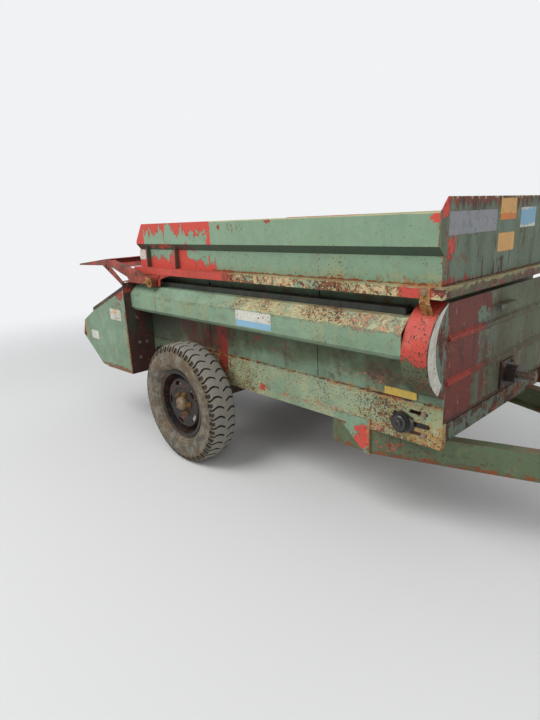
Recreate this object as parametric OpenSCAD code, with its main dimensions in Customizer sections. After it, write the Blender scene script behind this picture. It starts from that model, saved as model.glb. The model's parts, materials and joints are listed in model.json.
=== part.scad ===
// Trailed two-wheel manure spreader: slatted floor, rear beater and two spinner discs.
// +X points to the drawbar eye, +Y to the left side, +Z up, with the ground at z = 0.
// Inside the modules x is counted from the front wall, so the box behind it has negative x.

/* [Reach] */
// Length of the lower body, from the front wall to the rear posts
body_len = 2301; // [2280:1:2340]
// Half width over the lower side sheets
body_half = 620; // [600:5:680]
// Distance of the hood's tip behind the lower body
tail_out = 769; // [750:1:800]
// Distance of the eye's tip ahead of the front wall
eye_reach = 1030; // [960:10:1300]
// Thickness of the body's sheet steel
sheet = 4; // [3:0.5:5]

/* [Side sheets] */
// Height of the skirt's lower edge over the axle
skirt_rise = 125; // [115:5:140]
// Height of the skirt
skirt_h = 190; // [175:5:205]
// Height of the upper side sheet
side_h = 395; // [385:5:415]
// Distance of the front panel joint behind the front wall
joint_front = 697; // [600:5:800]
// Distance of the rear panel joint behind the front wall
joint_rear = 1600; // [1450:5:1700]
// Width of a panel joint's groove
joint_w = 9; // [6:1:14]
// Travel of the take-up slots
slot_len = 93; // [80:1:100]
// Width of the return flange on the skirt's front edge
flange_back = 32; // [20:1:50]

/* [Hopper] */
// Height of the floor over the skirt's lower edge
floor_rise = 140; // [135:1:145]
// Gap between the hopper's rim and the side sheets
hopper_gap = 12; // [8:1:20]
// How far each hopper wall leans in towards the floor
hopper_lean = 104; // [90:2:120]
// Depth of the chain case between the front wall and the hopper
case_depth = 118; // [100:2:130]
// Height of the front wall's lower edge over the skirt's
wall_rise = 119; // [105:2:135]
// Height of the front wall's top over the side sheets
wall_over = 57; // [40:1:75]
// Height of the lower swage over the front wall's lower edge
swage_low = 185; // [150:5:220]
// Height of the upper swage over the front wall's lower edge
swage_high = 373; // [340:1:420]
// How far the swages stand out
swage_d = 12; // [6:1:20]
// Depth of the lip folded back along the front wall's lower edge
wall_lip = 28; // [10:1:40]
// Depth of the hose ledge below the front wall's top
ledge_drop = 68; // [50:1:90]
// How far the hose ledge stands out
ledge_out = 35; // [20:1:50]
// Width of the hose ledge
ledge_w = 180; // [120:5:240]

/* [Upper box] */
// Height of the flange frame over the side sheets
flange_rise = 85; // [78:1:95]
// Height of the flange frame itself
flange_h = 43; // [35:1:55]
// How far the flange frame stands out past the side sheets
flange_out = 106; // [96:2:112]
// How far the side boards are set in from the flange frame
board_set = 56; // [46:2:66]
// Height of the side boards' lower panels
panel_low_h = 115; // [100:5:130]
// Height of the bevel between lower and upper panels
bevel_h = 38; // [25:1:50]
// Width of that bevel
bevel_w = 35; // [20:1:45]
// Height of the side boards' upper panels
panel_top_h = 129; // [110:1:180]
// Height of the head board over the side boards
head_rise = 52; // [30:1:110]
// Width of the side board's top lip
lip_w = 22; // [12:1:30]

/* [Drive covers] */
// How far shaft cover and chain guard stand out past the side sheets
cover_out = 150; // [140:5:160]
// Height of the shaft cover's outer face
cover_h = 96; // [86:2:110]
// Height of the shaft cover's upper bevel
cover_slope = 54; // [44:2:60]
// Bevel along the cover's lower edge
cover_bevel = 25; // [15:1:30]
// Radius of the chain guard
guard_r = 215; // [205:1:220]
// Depth of the chain guard's centre below the side sheets' top
guard_drop = 145; // [135:5:155]
// Sheet thickness of guard and covers
cover_t = 3; // [2:0.5:4]
// Width of the dark rail along the top of the side sheet
rail_w = 50; // [40:2:52]
// Height of the dark rail
rail_h = 30; // [20:1:36]
// Distance of the dark rail's front end behind the front wall
rail_front = 175; // [150:5:220]

/* [Drawbar and chassis] */
// Depth of the drawbar's channels
draw_h = 130; // [110:5:140]
// Width of the drawbar's channels
draw_w = 55; // [45:1:65]
// Wall of the drawbar's channels
draw_t = 8; // [6:1:10]
// Distance of the drawbar's bend behind the front wall
bend_back = 367; // [300:1:420]
// Straight length of the drawbar's channels behind the bend
bend_run = 230; // [216:2:260]
// Distance of the nose plate ahead of the front wall
nose_x = 800; // [760:10:850]
// Half width of the drawbar at the nose plate
nose_half = 217; // [180:1:240]
// Outer radius of the hitch eye
eye_r = 55; // [45:1:65]
// Radius of the hitch pin hole
eye_hole_r = 16.5; // [12:0.5:20]
// Thickness of the hitch tongue
tongue_t = 30; // [20:1:36]
// Height of the chassis sills
sill_h = 100; // [80:5:110]
// Width of the chassis sills
sill_w = 50; // [40:1:55]

/* [Wheels] */
// Outer radius of the tyre
wheel_r = 390; // [370:1:400]
// Width of the tyre
tyre_w = 195; // [170:1:205]
// Radius of the rim's bead seats
rim_r = 205; // [200:1:210]
// Half the distance between the rim's bead seats
bead_half = 60; // [50:1:66]
// Thickness of the wheel disc
disc_t = 6; // [4:1:8]
// Radius of the ring of wheel studs
stud_ring = 66; // [62:1:70]
// Radius of the wheel studs
stud_r = 7; // [6:0.5:8]
// Radius of the ring of hand holes in the wheel disc
hand_ring = 133; // [130:1:136]
// Distance of the tyre's middle outside the side sheets
wheel_out = 157; // [152:1:170]
// Distance of the axle ahead of the body's rear end
axle_gap = 623; // [560:1:700]
// Side of the square axle beam
axle_side = 70; // [60:1:76]
// Radius of the axle's spindles
spindle_r = 22; // [18:1:26]

/* [Floor chain] */
// Distance of the front chain shaft behind the front wall
shaft_front = 190; // [185:1:196]
// Distance of the rear chain shaft ahead of the body's rear end
shaft_gap = 101; // [96:1:150]
// Depth of the chain shafts below the floor's top
shaft_drop = 51; // [49:1:55]
// Radius of the chain shafts
shaft_r = 20; // [16:1:24]
// Radius of the chain shafts' journals
journal_r = 12; // [10:1:14]
// Height of the slats
slat_h = 36; // [28:1:40]
// Thickness of the slats
slat_t = 10; // [6:1:14]
// Number of slats on each straight run
slat_count = 7; // [5:1:9]
// Number of chain links on each straight run
link_count = 32; // [28:1:34]
// Radius of the chain's barrels
barrel_r = 10; // [9:0.5:11]
// Half height of the bars between the barrels
bar_half = 4; // [3:0.5:5]
// Thickness of the star wheels' plates
star_t = 6; // [4:1:8]
// How far the chain's bearings stand out
bearing_out = 28; // [24:1:44]

/* [Spreading gear] */
// How far the rear guard plates stand out past the side sheets
tail_over = 204; // [190:2:220]
// Distance of the beater shaft behind the lower body
beater_out = 209; // [204:1:224]
// Height of the beater shaft over the floor
beater_rise = 125; // [120:1:130]
// Radius over the beater's paddles
beater_r = 200; // [180:1:205]
// Radius of the beater's drum tube
drum_r = 70; // [55:1:80]
// How far the rims of the drum's ends stand out
drum_rim = 14; // [8:1:18]
// Number of paddles on the beater
paddle_count = 24; // [16:2:30]
// Distance of the spinner shafts behind the lower body
spinner_out = 399; // [389:1:419]
// Gap between the two spinner discs
spinner_gap = 60; // [40:2:90]
// Radius of the spinner discs
spinner_r = 270; // [240:1:280]
// Depth of the spinner discs' underside below the skirt's lower edge
spinner_drop = 15; // [10:1:20]
// Height of the spinner's vanes
vane_h = 44; // [30:1:50]
// Distance of the vanes' inner ends from the spinner's shaft
vane_in = 52; // [48:1:64]
// Distance of the vanes' outer ends inside the disc's edge
vane_edge = 14; // [8:1:24]
// Length of the spinner's stub below its disc
spinner_stub = 60; // [50:1:64]
// Distance of the side shaft behind the lower body
side_shaft_out = 100; // [90:1:110]
// Depth of the side shaft below the side sheets' top
side_shaft_drop = 125; // [115:1:135]
// Distance of the side shaft inside the cover's outer face
side_shaft_in = 72; // [66:1:78]
// Depth of the spinners' cross shaft below the discs
cross_drop = 70; // [66:1:76]
// Height of the spinner carrier's beam
carrier_h = 80; // [70:1:90]
// Width of that beam
carrier_w = 70; // [60:1:76]
// Wall of that beam
carrier_t = 8; // [6:1:10]

/* [Hood] */
// Distance of the hood's hinge ahead of the body's rear end
hinge_gap = 276; // [241:1:311]
// Height of the hinge over the side sheets
hinge_rise = 35; // [30:1:40]
// How far the hood is set in from the guard plates' outer faces
hood_set = 49; // [39:1:56]
// Distance of the hood's ridge behind the lower body
ridge_out = 282; // [269:1:330]
// Height of the ridge over the hinge
ridge_rise = 142; // [135:1:160]
// Drop from the ridge to the hood's tip
tip_drop = 50; // [40:1:56]
// Width of the hood's angle irons
hood_iron = 40; // [34:1:40]
// Distance of the hood deck's front edge ahead of the ridge
deck_run = 150; // [120:5:170]

/* [Stand and input] */
// Distance of the stand's pivot ahead of the front wall
stand_x = 620; // [560:5:660]
// Height of the stand's pivot over the drawbar's lower edge
stand_rise = 10; // [0:1:13]
// Side of the stand's square tube
stand_side = 60; // [50:1:64]
// Forward lean of the stand, in degrees
stand_lean = 6; // [4:1:8]
// Half length of the stand's foot plate
foot_reach = 70; // [60:1:74]
// Half width of the foot plate
foot_half = 80; // [60:2:90]
// Height of the drive input over the front wall's lower edge
input_rise = 86; // [81:1:96]
// Radius of the drive input shaft
input_r = 17.5; // [15:0.5:20]
// Free length of the drive input shaft
input_len = 78; // [60:1:90]

/* [Hidden] */
$fn = 64;

green = [0.51, 0.63, 0.53];
red = [0.76, 0.31, 0.26];
dark = [0.16, 0.15, 0.15];
brown = [0.30, 0.18, 0.15];
steel = [0.45, 0.42, 0.38];

// Clearance of pieces that turn in or rest on others
run_gap = 0.3;

tail_reach = body_len + tail_out;
// x of the front wall, so that the origin lies under the middle of the machine
front_x = (tail_reach - eye_reach) / 2;

// Heights, from the ground up
skirt_z = wheel_r + skirt_rise;
lap_z = skirt_z + skirt_h;
side_top_z = lap_z + side_h;
floor_z = skirt_z + floor_rise;
shaft_z = floor_z - shaft_drop;
wall_low_z = skirt_z + wall_rise;
wall_top_z = side_top_z + wall_over;
ledge_z = wall_top_z - ledge_drop;
flange_z = side_top_z + flange_rise;
flange_top_z = flange_z + flange_h;
bevel_z = flange_top_z + panel_low_h;
bevel_top_z = bevel_z + bevel_h;
board_top_z = bevel_top_z + panel_top_h;
head_top_z = board_top_z + head_rise;
cover_top_z = side_top_z - cover_slope;
cover_low_z = cover_top_z - cover_h;
guard_z = side_top_z - guard_drop;
draw_top_z = skirt_z;
draw_low_z = draw_top_z - draw_h;
stand_z = draw_low_z + stand_rise;
spinner_z = skirt_z - spinner_drop;
input_z = wall_low_z + input_rise;
member_top_z = floor_z - sheet;

// Half widths; skirt and upper side sheet lap by one sheet, the skirt outside
upper_half = body_half - sheet;
sill_out = body_half - sheet;
hopper_top_half = upper_half - hopper_gap;
hopper_low_half = hopper_top_half - hopper_lean;
flange_half = body_half + flange_out;
board_low_half = flange_half - board_set;
board_top_half = board_low_half + bevel_w;
cover_half = body_half + cover_out;
wheel_y = body_half + wheel_out;
tail_half = body_half + tail_over;
hood_half = tail_half - hood_set;
spinner_y = spinner_r + spinner_gap / 2;
strand_y = hopper_low_half - 40;
// The chain shafts' journals end inside their bearings
journal_out = bearing_out - 10;

// Places along the machine, counted from the front wall
axle_x = axle_gap - body_len;
eye_x = eye_reach - eye_r;
shaft_rear = body_len - shaft_gap;
beater_at = [-body_len - beater_out, floor_z + beater_rise];
spinner_x = -body_len - spinner_out;
hinge_at = [hinge_gap - body_len, side_top_z + hinge_rise];
ridge_at = [-body_len - ridge_out, hinge_at[1] + ridge_rise];
tip_at = [-tail_reach, ridge_at[1] - tip_drop];

// The chain's pitch radius puts the slats' inner edge on the floor
slat_in_r = floor_z + 1 - shaft_z;
slat_out_r = slat_in_r + slat_h;
member_low_z = shaft_z - slat_in_r + 9;

module from_front() {
    translate([front_x, 0, 0]) children();
}

module both_sides() {
    children();
    mirror([0, 1, 0]) children();
}

// Extrudes an outline drawn in y and z along x
module along_x(x0, x1) {
    translate([x0, 0, 0]) rotate([90, 0, 90]) linear_extrude(x1 - x0) children();
}

// Extrudes an outline drawn in x and z along y
module along_y(y0, y1) {
    translate([0, y1, 0]) rotate([90, 0, 0]) linear_extrude(y1 - y0) children();
}

// A box from its lowest to its highest corner
module block(low, high) {
    translate(low) cube(high - low);
}

// A round bar along y
module bar_y(r, y0, y1, x, z) {
    translate([x, y0, z]) rotate([-90, 0, 0]) cylinder(r = r, h = y1 - y0);
}

// A round bar along x
module bar_x(r, x0, x1, y, z) {
    translate([x0, y, z]) rotate([0, 90, 0]) cylinder(r = r, h = x1 - x0);
}

// A channel along x from the origin, web at y = 0, flanges towards +y
module channel_x(len, h, w, t) {
    difference() {
        cube([len, w, h]);
        translate([-1, t, t]) cube([len + 2, w, h - 2 * t]);
    }
}

// Chassis and running gear

draw_slope = (body_half - nose_half) / (nose_x + bend_back);
draw_turn = atan(draw_slope);
draw_back = bend_back + bend_run;

// A line along a drawbar rail in plan, set in from its outer face and run on past its ends
function rail_line(inset, more) = [[-draw_back - more, -body_half + inset],
    [-bend_back - inset * tan(draw_turn / 2), -body_half + inset],
    [nose_x + more, -nose_half + inset / cos(draw_turn) + more * draw_slope]];

module rail_plan(outer, inner, more) {
    lines = concat(rail_line(outer, more), rail_line(inner, more));
    polygon([for (i = [0, 1, 2, 5, 4, 3]) lines[i]]);
}

module drawbar_side() {
    translate([0, 0, draw_low_z]) difference() {
        linear_extrude(draw_h) rail_plan(0, draw_w, 0);
        translate([0, 0, draw_t]) linear_extrude(draw_h - 2 * draw_t) rail_plan(draw_t, draw_w + 1, 1);
    }
}

module drawbar() {
    color(green) from_front() difference() {
        union() {
            both_sides() drawbar_side();
            block([nose_x - 20, -nose_half - 10, draw_low_z], [nose_x + 12, nose_half + 10, draw_top_z]);
            stand_member();
            block([stand_x - 30, -eye_r, stand_member_z()],
                [eye_x, eye_r, stand_member_z() + tongue_t]);
            translate([eye_x, 0, stand_member_z()]) cylinder(r = eye_r, h = tongue_t);
        }
        translate([eye_x, 0, stand_member_z() - 1]) cylinder(r = eye_hole_r, h = tongue_t + 2);
    }
}

function stand_member_z() = stand_z + stand_side / 2 + 10;

// Cross member that carries the stand and the tongue's root
module stand_member() {
    ends = [for (x = [stand_x - 40, stand_x + 40])
        [x, body_half - (x + bend_back) * draw_slope - draw_t / 2]];
    translate([0, 0, stand_member_z()]) linear_extrude(draw_top_z - stand_member_z())
        polygon([ends[0], ends[1], [ends[1][0], -ends[1][1]], [ends[0][0], -ends[0][1]]]);
}

// Corners of the gusset plate: distance behind the bend and height over the skirt's lower edge
gusset_corners = [[0, 45], [0, -draw_h - 12], [32, -draw_h], [154, -23], [216, 14], [216, 45]];

module gussets() {
    color(green) from_front() both_sides() along_y(-body_half - 6, -body_half)
        polygon([for (corner = gusset_corners) [-bend_back - corner[0], skirt_z + corner[1]]]);
}

// Distances of the cross members behind the front wall
member_places = [shaft_front + 150, 950, 1500, shaft_rear - 190];

// Cross members end this far inside the sills' outer faces, and the take-up slides fill the gap
member_set = 6;

module chassis() {
    color(brown) from_front() {
        both_sides() difference() {
            translate([-body_len + 11, -sill_out, skirt_z]) channel_x(body_len - 21, sill_h, sill_w, 6);
            for (span = [[-shaft_front - journal_slot, -shaft_front + slot_end],
                    [-shaft_rear - journal_r - 3, -shaft_rear + journal_r + 3]])
                block([span[0], -sill_out - 1, shaft_z - journal_r - 2],
                    [span[1], -sill_out + sill_w + 1, skirt_z + sill_h + 1]);
        }
        for (back = member_places)
            translate([-back, 0, 0]) difference() {
                block([-30, -sill_out + member_set, member_low_z], [30, sill_out - member_set, member_top_z]);
                block([-25, -sill_out, member_low_z - 1], [25, sill_out, member_top_z - 5]);
            }
        difference() {
            block([-85, -sill_out + member_set, skirt_z], [-30, sill_out - member_set, skirt_z + 85]);
            block([-90, -sill_out, skirt_z + 6], [-36, sill_out, skirt_z + 79]);
        }
    }
}

module axle() {
    beam_end = wheel_y - tyre_w / 2 - 24;
    half = axle_side / 2;
    color(dark) from_front() {
        block([axle_x - half, -beam_end, wheel_r - half], [axle_x + half, beam_end, wheel_r + half]);
        both_sides() {
            bar_y(spindle_r + 8, -beam_end - 25, -beam_end, axle_x, wheel_r);
            bar_y(spindle_r, -wheel_y - 38, -beam_end, axle_x, wheel_r);
            for (side = [-1, 1])
                block([axle_x + side * (half + 5) - 5, -sill_out, wheel_r - half],
                    [axle_x + side * (half + 5) + 5, -sill_out + sill_w, skirt_z - 10]);
            block([axle_x - 80, -sill_out, skirt_z - 10], [axle_x + 80, -sill_out + sill_w, skirt_z]);
        }
    }
}

// Wheels, drawn with their axis on z and the outer side at +z

module tyre() {
    half = tyre_w / 2;
    wall = 16;
    outer = [[rim_r, bead_half], [rim_r + 20, bead_half + 2], [rim_r + 48, half - 8], [rim_r + 96, half],
        [wheel_r - 42, half - 6], [wheel_r - 12, half - 22], [wheel_r, 30]];
    inner = [[wheel_r - 26, 30], [rim_r + 85, half - wall], [rim_r + 24, bead_half - 18],
        [rim_r, bead_half - 18]];
    lower = [for (i = [len(outer) - 1:-1:0]) [outer[i][0], -outer[i][1]]];
    lower_in = [for (i = [len(inner) - 1:-1:0]) [inner[i][0], -inner[i][1]]];
    color(dark) rotate_extrude($fn = 40) polygon(concat(outer, lower, lower_in, inner));
}

// Height of the hub's face over the tyre's middle plane
hub_face = 30;

module stud_circle() {
    for (i = [0:4])
        rotate(i * 72) translate([stud_ring, 0, 0]) children();
}

module hand_hole() {
    for (y = [-16, 16])
        translate([0, y, 0]) cylinder(r = 13, h = 80);
    block([-13, -16, 0], [13, 16, 80]);
}

module rim() {
    color([0.13, 0.12, 0.11]) difference() {
        rotate_extrude($fn = 48) polygon([[rim_r, -bead_half], [rim_r + 17, -bead_half - 3],
            [rim_r + 17, -bead_half - 8], [rim_r - 5, -bead_half - 4], [rim_r - 8, -20],
            [rim_r - 30, -6], [rim_r - 52, hub_face + 6], [110, hub_face + 8], [92, hub_face],
            [46, hub_face], [46, hub_face + disc_t], [90, hub_face + disc_t], [108, hub_face + 15],
            [rim_r - 48, hub_face + 13], [rim_r - 24, 4], [rim_r - 8, 0], [rim_r - 5, bead_half + 4],
            [rim_r + 17, bead_half + 8], [rim_r + 17, bead_half + 3], [rim_r, bead_half]]);
        for (i = [0:4])
            rotate(i * 72 + 36) translate([hand_ring, 0, 0]) hand_hole();
        stud_circle() translate([0, 0, hub_face - 1]) cylinder(r = stud_r + run_gap, h = disc_t + 2);
    }
}

module hub() {
    color([0.62, 0.57, 0.46]) difference() {
        union() {
            rotate_extrude() polygon([[0, -70], [46, -70], [50, -64], [50, -20], [62, 6], [88, 14],
                [88, hub_face], [44, hub_face], [44, 58], [38, 72], [24, 81], [0, 84]]);
            stud_circle() translate([0, 0, hub_face - 6]) cylinder(r = stud_r, h = disc_t + 26);
        }
        translate([0, 0, -71]) cylinder(r = spindle_r + run_gap, h = 71 + 42);
    }
}

module wheel_right() {
    from_front() translate([axle_x, -wheel_y, wheel_r]) rotate([90, 0, 0]) children();
}

module wheel_left() {
    from_front() translate([axle_x, wheel_y, wheel_r]) rotate([-90, 0, 0]) children();
}

module tyre_right() { wheel_right() tyre(); }
module rim_right() { wheel_right() rim(); }
module hub_right() { wheel_right() hub(); }
module tyre_left() { wheel_left() tyre(); }
module rim_left() { wheel_left() rim(); }
module hub_left() { wheel_left() hub(); }

// Body

// The chain shaft's slot starts this far behind it, the bolt slots start ahead of it
journal_slot = 26;
bolt_slot = -29;
slot_end = slot_len - bolt_slot;
// Take-up slots: height over the front chain shaft, half height, rear end's distance behind the shaft
take_up_slots = [[57, 9, bolt_slot], [0, journal_r + 1, journal_slot], [-41, 9, bolt_slot]];

// A slot with round ends through the skirt
module slot_cut(x0, x1, z, half) {
    for (x = [x0 + half, x1 - half])
        bar_y(half, -body_half - 1, -body_half + sheet + 1, x, z);
    block([x0 + half, -body_half - 1, z - half], [x1 - half, -body_half + sheet + 1, z + half]);
}

module side_sheet() {
    difference() {
        union() {
            block([-body_len, -body_half, skirt_z], [0, -upper_half, lap_z + 6]);
            block([-body_len, -upper_half, lap_z], [0, -upper_half + sheet, side_top_z]);
            block([-sheet, -body_half, skirt_z], [0, -body_half + flange_back, wall_low_z]);
            for (back = [joint_front, joint_rear])
                block([-back - 20, -upper_half + sheet, lap_z + 8],
                    [-back + 20, -upper_half + 2 * sheet, side_top_z]);
        }
        for (back = [joint_front, joint_rear])
            block([-back - joint_w / 2, -upper_half - 1, lap_z + 14],
                [-back + joint_w / 2, -upper_half + sheet, side_top_z + 1]);
        for (slot = take_up_slots)
            slot_cut(-shaft_front - slot[2], -shaft_front + slot_end, shaft_z + slot[0], slot[1]);
        bar_y(journal_r + 3, -body_half - 1, -body_half + sheet + 1, -shaft_rear, shaft_z);
    }
}

module side_right() {
    color(green) from_front() side_sheet();
}

module side_left() {
    color(green) from_front() mirror([0, 1, 0]) side_sheet();
}

module front_wall() {
    half = upper_half - sheet;
    color([0.45, 0.24, 0.20]) from_front() difference() {
        union() {
            block([-sheet, -half, wall_low_z], [0, half, wall_top_z]);
            block([-wall_lip, -half, wall_low_z], [0, half, wall_low_z + sheet]);
            along_y(-ledge_w - 10, -10) polygon([[0, ledge_z], [ledge_out, ledge_z],
                [ledge_out, ledge_z - 20], [ledge_out - 3, ledge_z - 20], [ledge_out - 3, ledge_z - 3],
                [0, ledge_z - 3]]);
            for (z = [wall_low_z + swage_low, wall_low_z + swage_high])
                along_y(-half, half) polygon([[0, z - 16], [swage_d, z - 8], [swage_d, z + 8], [0, z + 16]]);
        }
        bar_x(input_r + 8, -sheet - 1, 1, 0, input_z);
    }
}

module head_board() {
    half = board_top_half + 2;
    low = board_low_half + 2;
    color(green) from_front() along_x(-sheet, 0) polygon([[-low, flange_top_z], [low, flange_top_z],
        [low, bevel_z], [half, bevel_top_z], [half, board_top_z], [half - 50, head_top_z],
        [-half + 50, head_top_z], [-half, board_top_z], [-half, bevel_top_z], [-low, bevel_z]]);
}

// Slant of the side boards' rear end: x at the flange, at the bevel and at the top
board_end = [-body_len + 15, -body_len + 50, -body_len + 134];
board_ribs = [-body_len + 161, -body_len + 501];

module side_board() {
    step = sheet * tan(22.5);
    difference() {
        union() {
            along_x(board_end[0], -sheet) polygon([[-board_low_half, flange_top_z],
                [-board_low_half, bevel_z], [-board_top_half, bevel_top_z], [-board_top_half, board_top_z],
                [-board_top_half + lip_w, board_top_z], [-board_top_half + lip_w, board_top_z - sheet],
                [-board_top_half + sheet, board_top_z - sheet], [-board_top_half + sheet, bevel_top_z - step],
                [-board_low_half + sheet, bevel_z - step], [-board_low_half + sheet, flange_top_z]]);
            for (x = board_ribs)
                along_x(x - 3, x + 3) polygon([[-board_low_half, flange_top_z],
                    [-board_low_half, bevel_z], [-board_low_half - 28, bevel_z + 28],
                    [-board_low_half - 34, flange_top_z]]);
        }
        along_y(-board_top_half - 1, -board_low_half + lip_w + 40)
            polygon([[board_end[0] - 1, flange_top_z], [board_end[0], flange_top_z],
                [board_end[1], bevel_top_z + 20], [board_end[2], board_top_z + 1],
                [board_end[0] - 1, board_top_z + 1]]);
    }
}

module board_right() {
    color(green) from_front() side_board();
}

module board_left() {
    color(green) from_front() mirror([0, 1, 0]) side_board();
}

flange_front_x = 30;
flange_rear_x = -body_len + 15;

module flange_frame() {
    rim_half = hopper_top_half - sheet;
    color(red) from_front() {
        difference() {
            block([flange_rear_x, -flange_half, flange_z], [flange_front_x, flange_half, flange_top_z]);
            block([flange_rear_x + sheet, -flange_half + sheet, flange_z - 1],
                [flange_front_x - sheet, flange_half - sheet, flange_top_z - sheet]);
            block([flange_rear_x + 46, -rim_half, flange_z - 1],
                [-case_depth - sheet, rim_half, flange_top_z + 1]);
        }
    }
}

function hopper_y(z) =
    hopper_low_half + (z - floor_z) * (hopper_top_half - hopper_low_half) / (flange_top_z - sheet - floor_z);

module hopper_wall() {
    top = flange_top_z - sheet;
    color(green) from_front() along_x(flange_rear_x + sheet, -case_depth)
        polygon([[-hopper_low_half, floor_z], [-hopper_low_half - sheet, floor_z],
            [-hopper_top_half - sheet, top], [-hopper_top_half, top]]);
}

module hopper_right() {
    hopper_wall();
}

module hopper_left() {
    mirror([0, 1, 0]) hopper_wall();
}

hopper_front_z = shaft_z + slat_out_r + 8;

module hopper_front() {
    low = hopper_y(hopper_front_z);
    top = flange_top_z - sheet;
    color(green) from_front() along_x(-case_depth - sheet, -case_depth)
        polygon([[-low, hopper_front_z], [low, hopper_front_z],
            [hopper_top_half, top], [-hopper_top_half, top]]);
}

// Upright frames between side sheet and hopper wall
module wall_ribs() {
    out = upper_half - 2 * sheet;
    low = skirt_z + sill_h;
    color(brown) from_front() both_sides() for (back = [joint_front, joint_rear, body_len - 22])
        along_x(-back - 3, -back + 3) polygon([[-out, low], [-out, side_top_z - 8],
            [-hopper_y(side_top_z + 60) - sheet, side_top_z + 60], [-hopper_y(low + 60) - sheet, low + 60],
            [-sill_out + sill_w, low]]);
}

module floor() {
    half = hopper_low_half + 10;
    color(steel) from_front()
        block([-shaft_rear + shaft_r + 8, -half, floor_z - sheet], [-shaft_front - shaft_r - 8, half, floor_z]);
}

// Link chain, drawn in x and z: each barrel has a place and the angle that its outer side faces
pitch_r = slat_in_r + barrel_r;
chain_ends = [[-shaft_rear, shaft_z], [-shaft_front, shaft_z]];
star_teeth = 6;

function facing(angle) = [cos(angle), sin(angle)];

function round_barrels(centre, angle) = [for (i = [0:star_teeth / 2 - 1])
    let (turn = angle + i * 360 / star_teeth) [centre + pitch_r * facing(turn), turn]];

link_pitch = (shaft_rear - shaft_front) / link_count;

function straight_barrels(start, angle) = [for (i = [0:link_count - 1])
    [start + pitch_r * facing(angle) + i * link_pitch * facing(angle + 90), angle]];

barrels = concat(straight_barrels(chain_ends[1], 90), round_barrels(chain_ends[0], 90),
    straight_barrels(chain_ends[0], 270), round_barrels(chain_ends[1], 270));

// Steps round one barrel: along the chain and away from its middle line
barrel_steps = [[-0.8 * barrel_r, bar_half], [-barrel_r / 2, barrel_r], [barrel_r / 2, barrel_r],
    [0.8 * barrel_r, bar_half]];

function step_at(barrel, along, out) = barrel[0] + out * facing(barrel[1]) + along * facing(barrel[1] + 90);

// The chain's inner side where it bends round a shaft; its straight runs rest flat on the floor
function bend_inside(centre, angle) = let (bend = round_barrels(centre, angle))
    concat([for (i = [2, 3]) step_at(bend[0], barrel_steps[i][0], -barrel_steps[i][1])],
        [for (barrel = [bend[1], bend[2]], step = barrel_steps) step_at(barrel, step[0], -step[1])],
        [for (i = [0, 1]) step_at([centre - pitch_r * facing(angle), angle + 180], barrel_steps[i][0],
            -barrel_steps[i][1])]);

module link_strand(y0, y1) {
    along_y(y0, y1) difference() {
        polygon([for (barrel = barrels, step = barrel_steps) step_at(barrel, step[0], step[1])]);
        polygon(concat(bend_inside(chain_ends[0], 90), bend_inside(chain_ends[1], 270)));
    }
}

module floor_chain() {
    run = shaft_rear - shaft_front;
    color(steel) from_front() {
        both_sides() link_strand(-strand_y - 12, -strand_y + 12);
        for (i = [0:slat_count - 1]) {
            x = -shaft_front - run * (i + 0.5) / slat_count;
            block([x, -strand_y - 12, shaft_z + slat_in_r], [x + slat_t, strand_y + 12, shaft_z + slat_out_r]);
            block([x - slat_t, -strand_y - 12, shaft_z - slat_out_r], [x, strand_y + 12, shaft_z - slat_in_r]);
        }
        block([-shaft_front + slat_in_r, -strand_y - 12, shaft_z - slat_t / 2],
            [-shaft_front + slat_out_r, strand_y + 12, shaft_z + slat_t / 2]);
        block([-shaft_rear - slat_out_r, -strand_y - 12, shaft_z - slat_t / 2],
            [-shaft_rear - slat_in_r, strand_y + 12, shaft_z + slat_t / 2]);
    }
}

// Outline of a star wheel: angle from the tooth's middle and radius
star_steps = [[-22, pitch_r - 22], [-9, pitch_r + bar_half], [9, pitch_r + bar_half], [22, pitch_r - 22]];

module star_plate(at, y0) {
    along_y(y0, y0 + star_t) polygon([for (i = [0:star_teeth - 1], step = star_steps)
        at + step[1] * facing(90 + i * 360 / star_teeth + step[0])]);
}

// The chain runs between the two plates of each star wheel
module chain_shafts() {
    color(steel) from_front() for (at = chain_ends) {
        bar_y(shaft_r, -sill_out + sill_w + 4, sill_out - sill_w - 4, at[0], at[1]);
        bar_y(journal_r, -body_half - journal_out, body_half + journal_out, at[0], at[1]);
        both_sides() {
            bar_y(slat_in_r - run_gap, -strand_y - 9, -strand_y + 9, at[0], at[1]);
            star_plate(at, -strand_y - 13 - star_t);
            star_plate(at, -strand_y + 13);
        }
    }
}

// A round bearing on the outside of the right side sheet
module side_bearing(x) {
    difference() {
        union() {
            block([x - 50, -body_half - 8, shaft_z - 30], [x + 50, -body_half, shaft_z + 30]);
            bar_y(46, -body_half - bearing_out, -body_half, x, shaft_z);
        }
        bar_y(journal_r + run_gap, -body_half - journal_out - 2, -body_half + 1, x, shaft_z);
    }
}

// Slide of the front chain shaft, in the sill's notch behind the take-up slots
module take_up_slide() {
    difference() {
        block([-shaft_front - journal_slot, -upper_half, shaft_z - journal_r - 2],
            [-shaft_front + slot_end, -upper_half + member_set, skirt_z + sill_h]);
        bar_y(journal_r + run_gap, -upper_half - 1, -upper_half + member_set + 1, -shaft_front, shaft_z);
    }
}

module chain_bearings() {
    color(dark) from_front() {
        both_sides() {
            side_bearing(-shaft_front);
            take_up_slide();
        }
        side_bearing(-shaft_rear);
    }
}

// Reduction gear of the floor chain, on the left side sheet
module feed_gearbox() {
    color(dark) from_front() difference() {
        union() {
            block([-shaft_rear - 70, body_half, shaft_z - 70],
                [-shaft_rear + 70, body_half + 12, shaft_z + 70]);
            bar_y(62, body_half, body_half + 90, -shaft_rear, shaft_z);
            bar_x(34, -shaft_rear - 72, -shaft_rear + 72, body_half + 52, shaft_z + 52);
        }
        bar_y(journal_r + run_gap, body_half - 1, body_half + journal_out + 2, -shaft_rear, shaft_z);
    }
}

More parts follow.
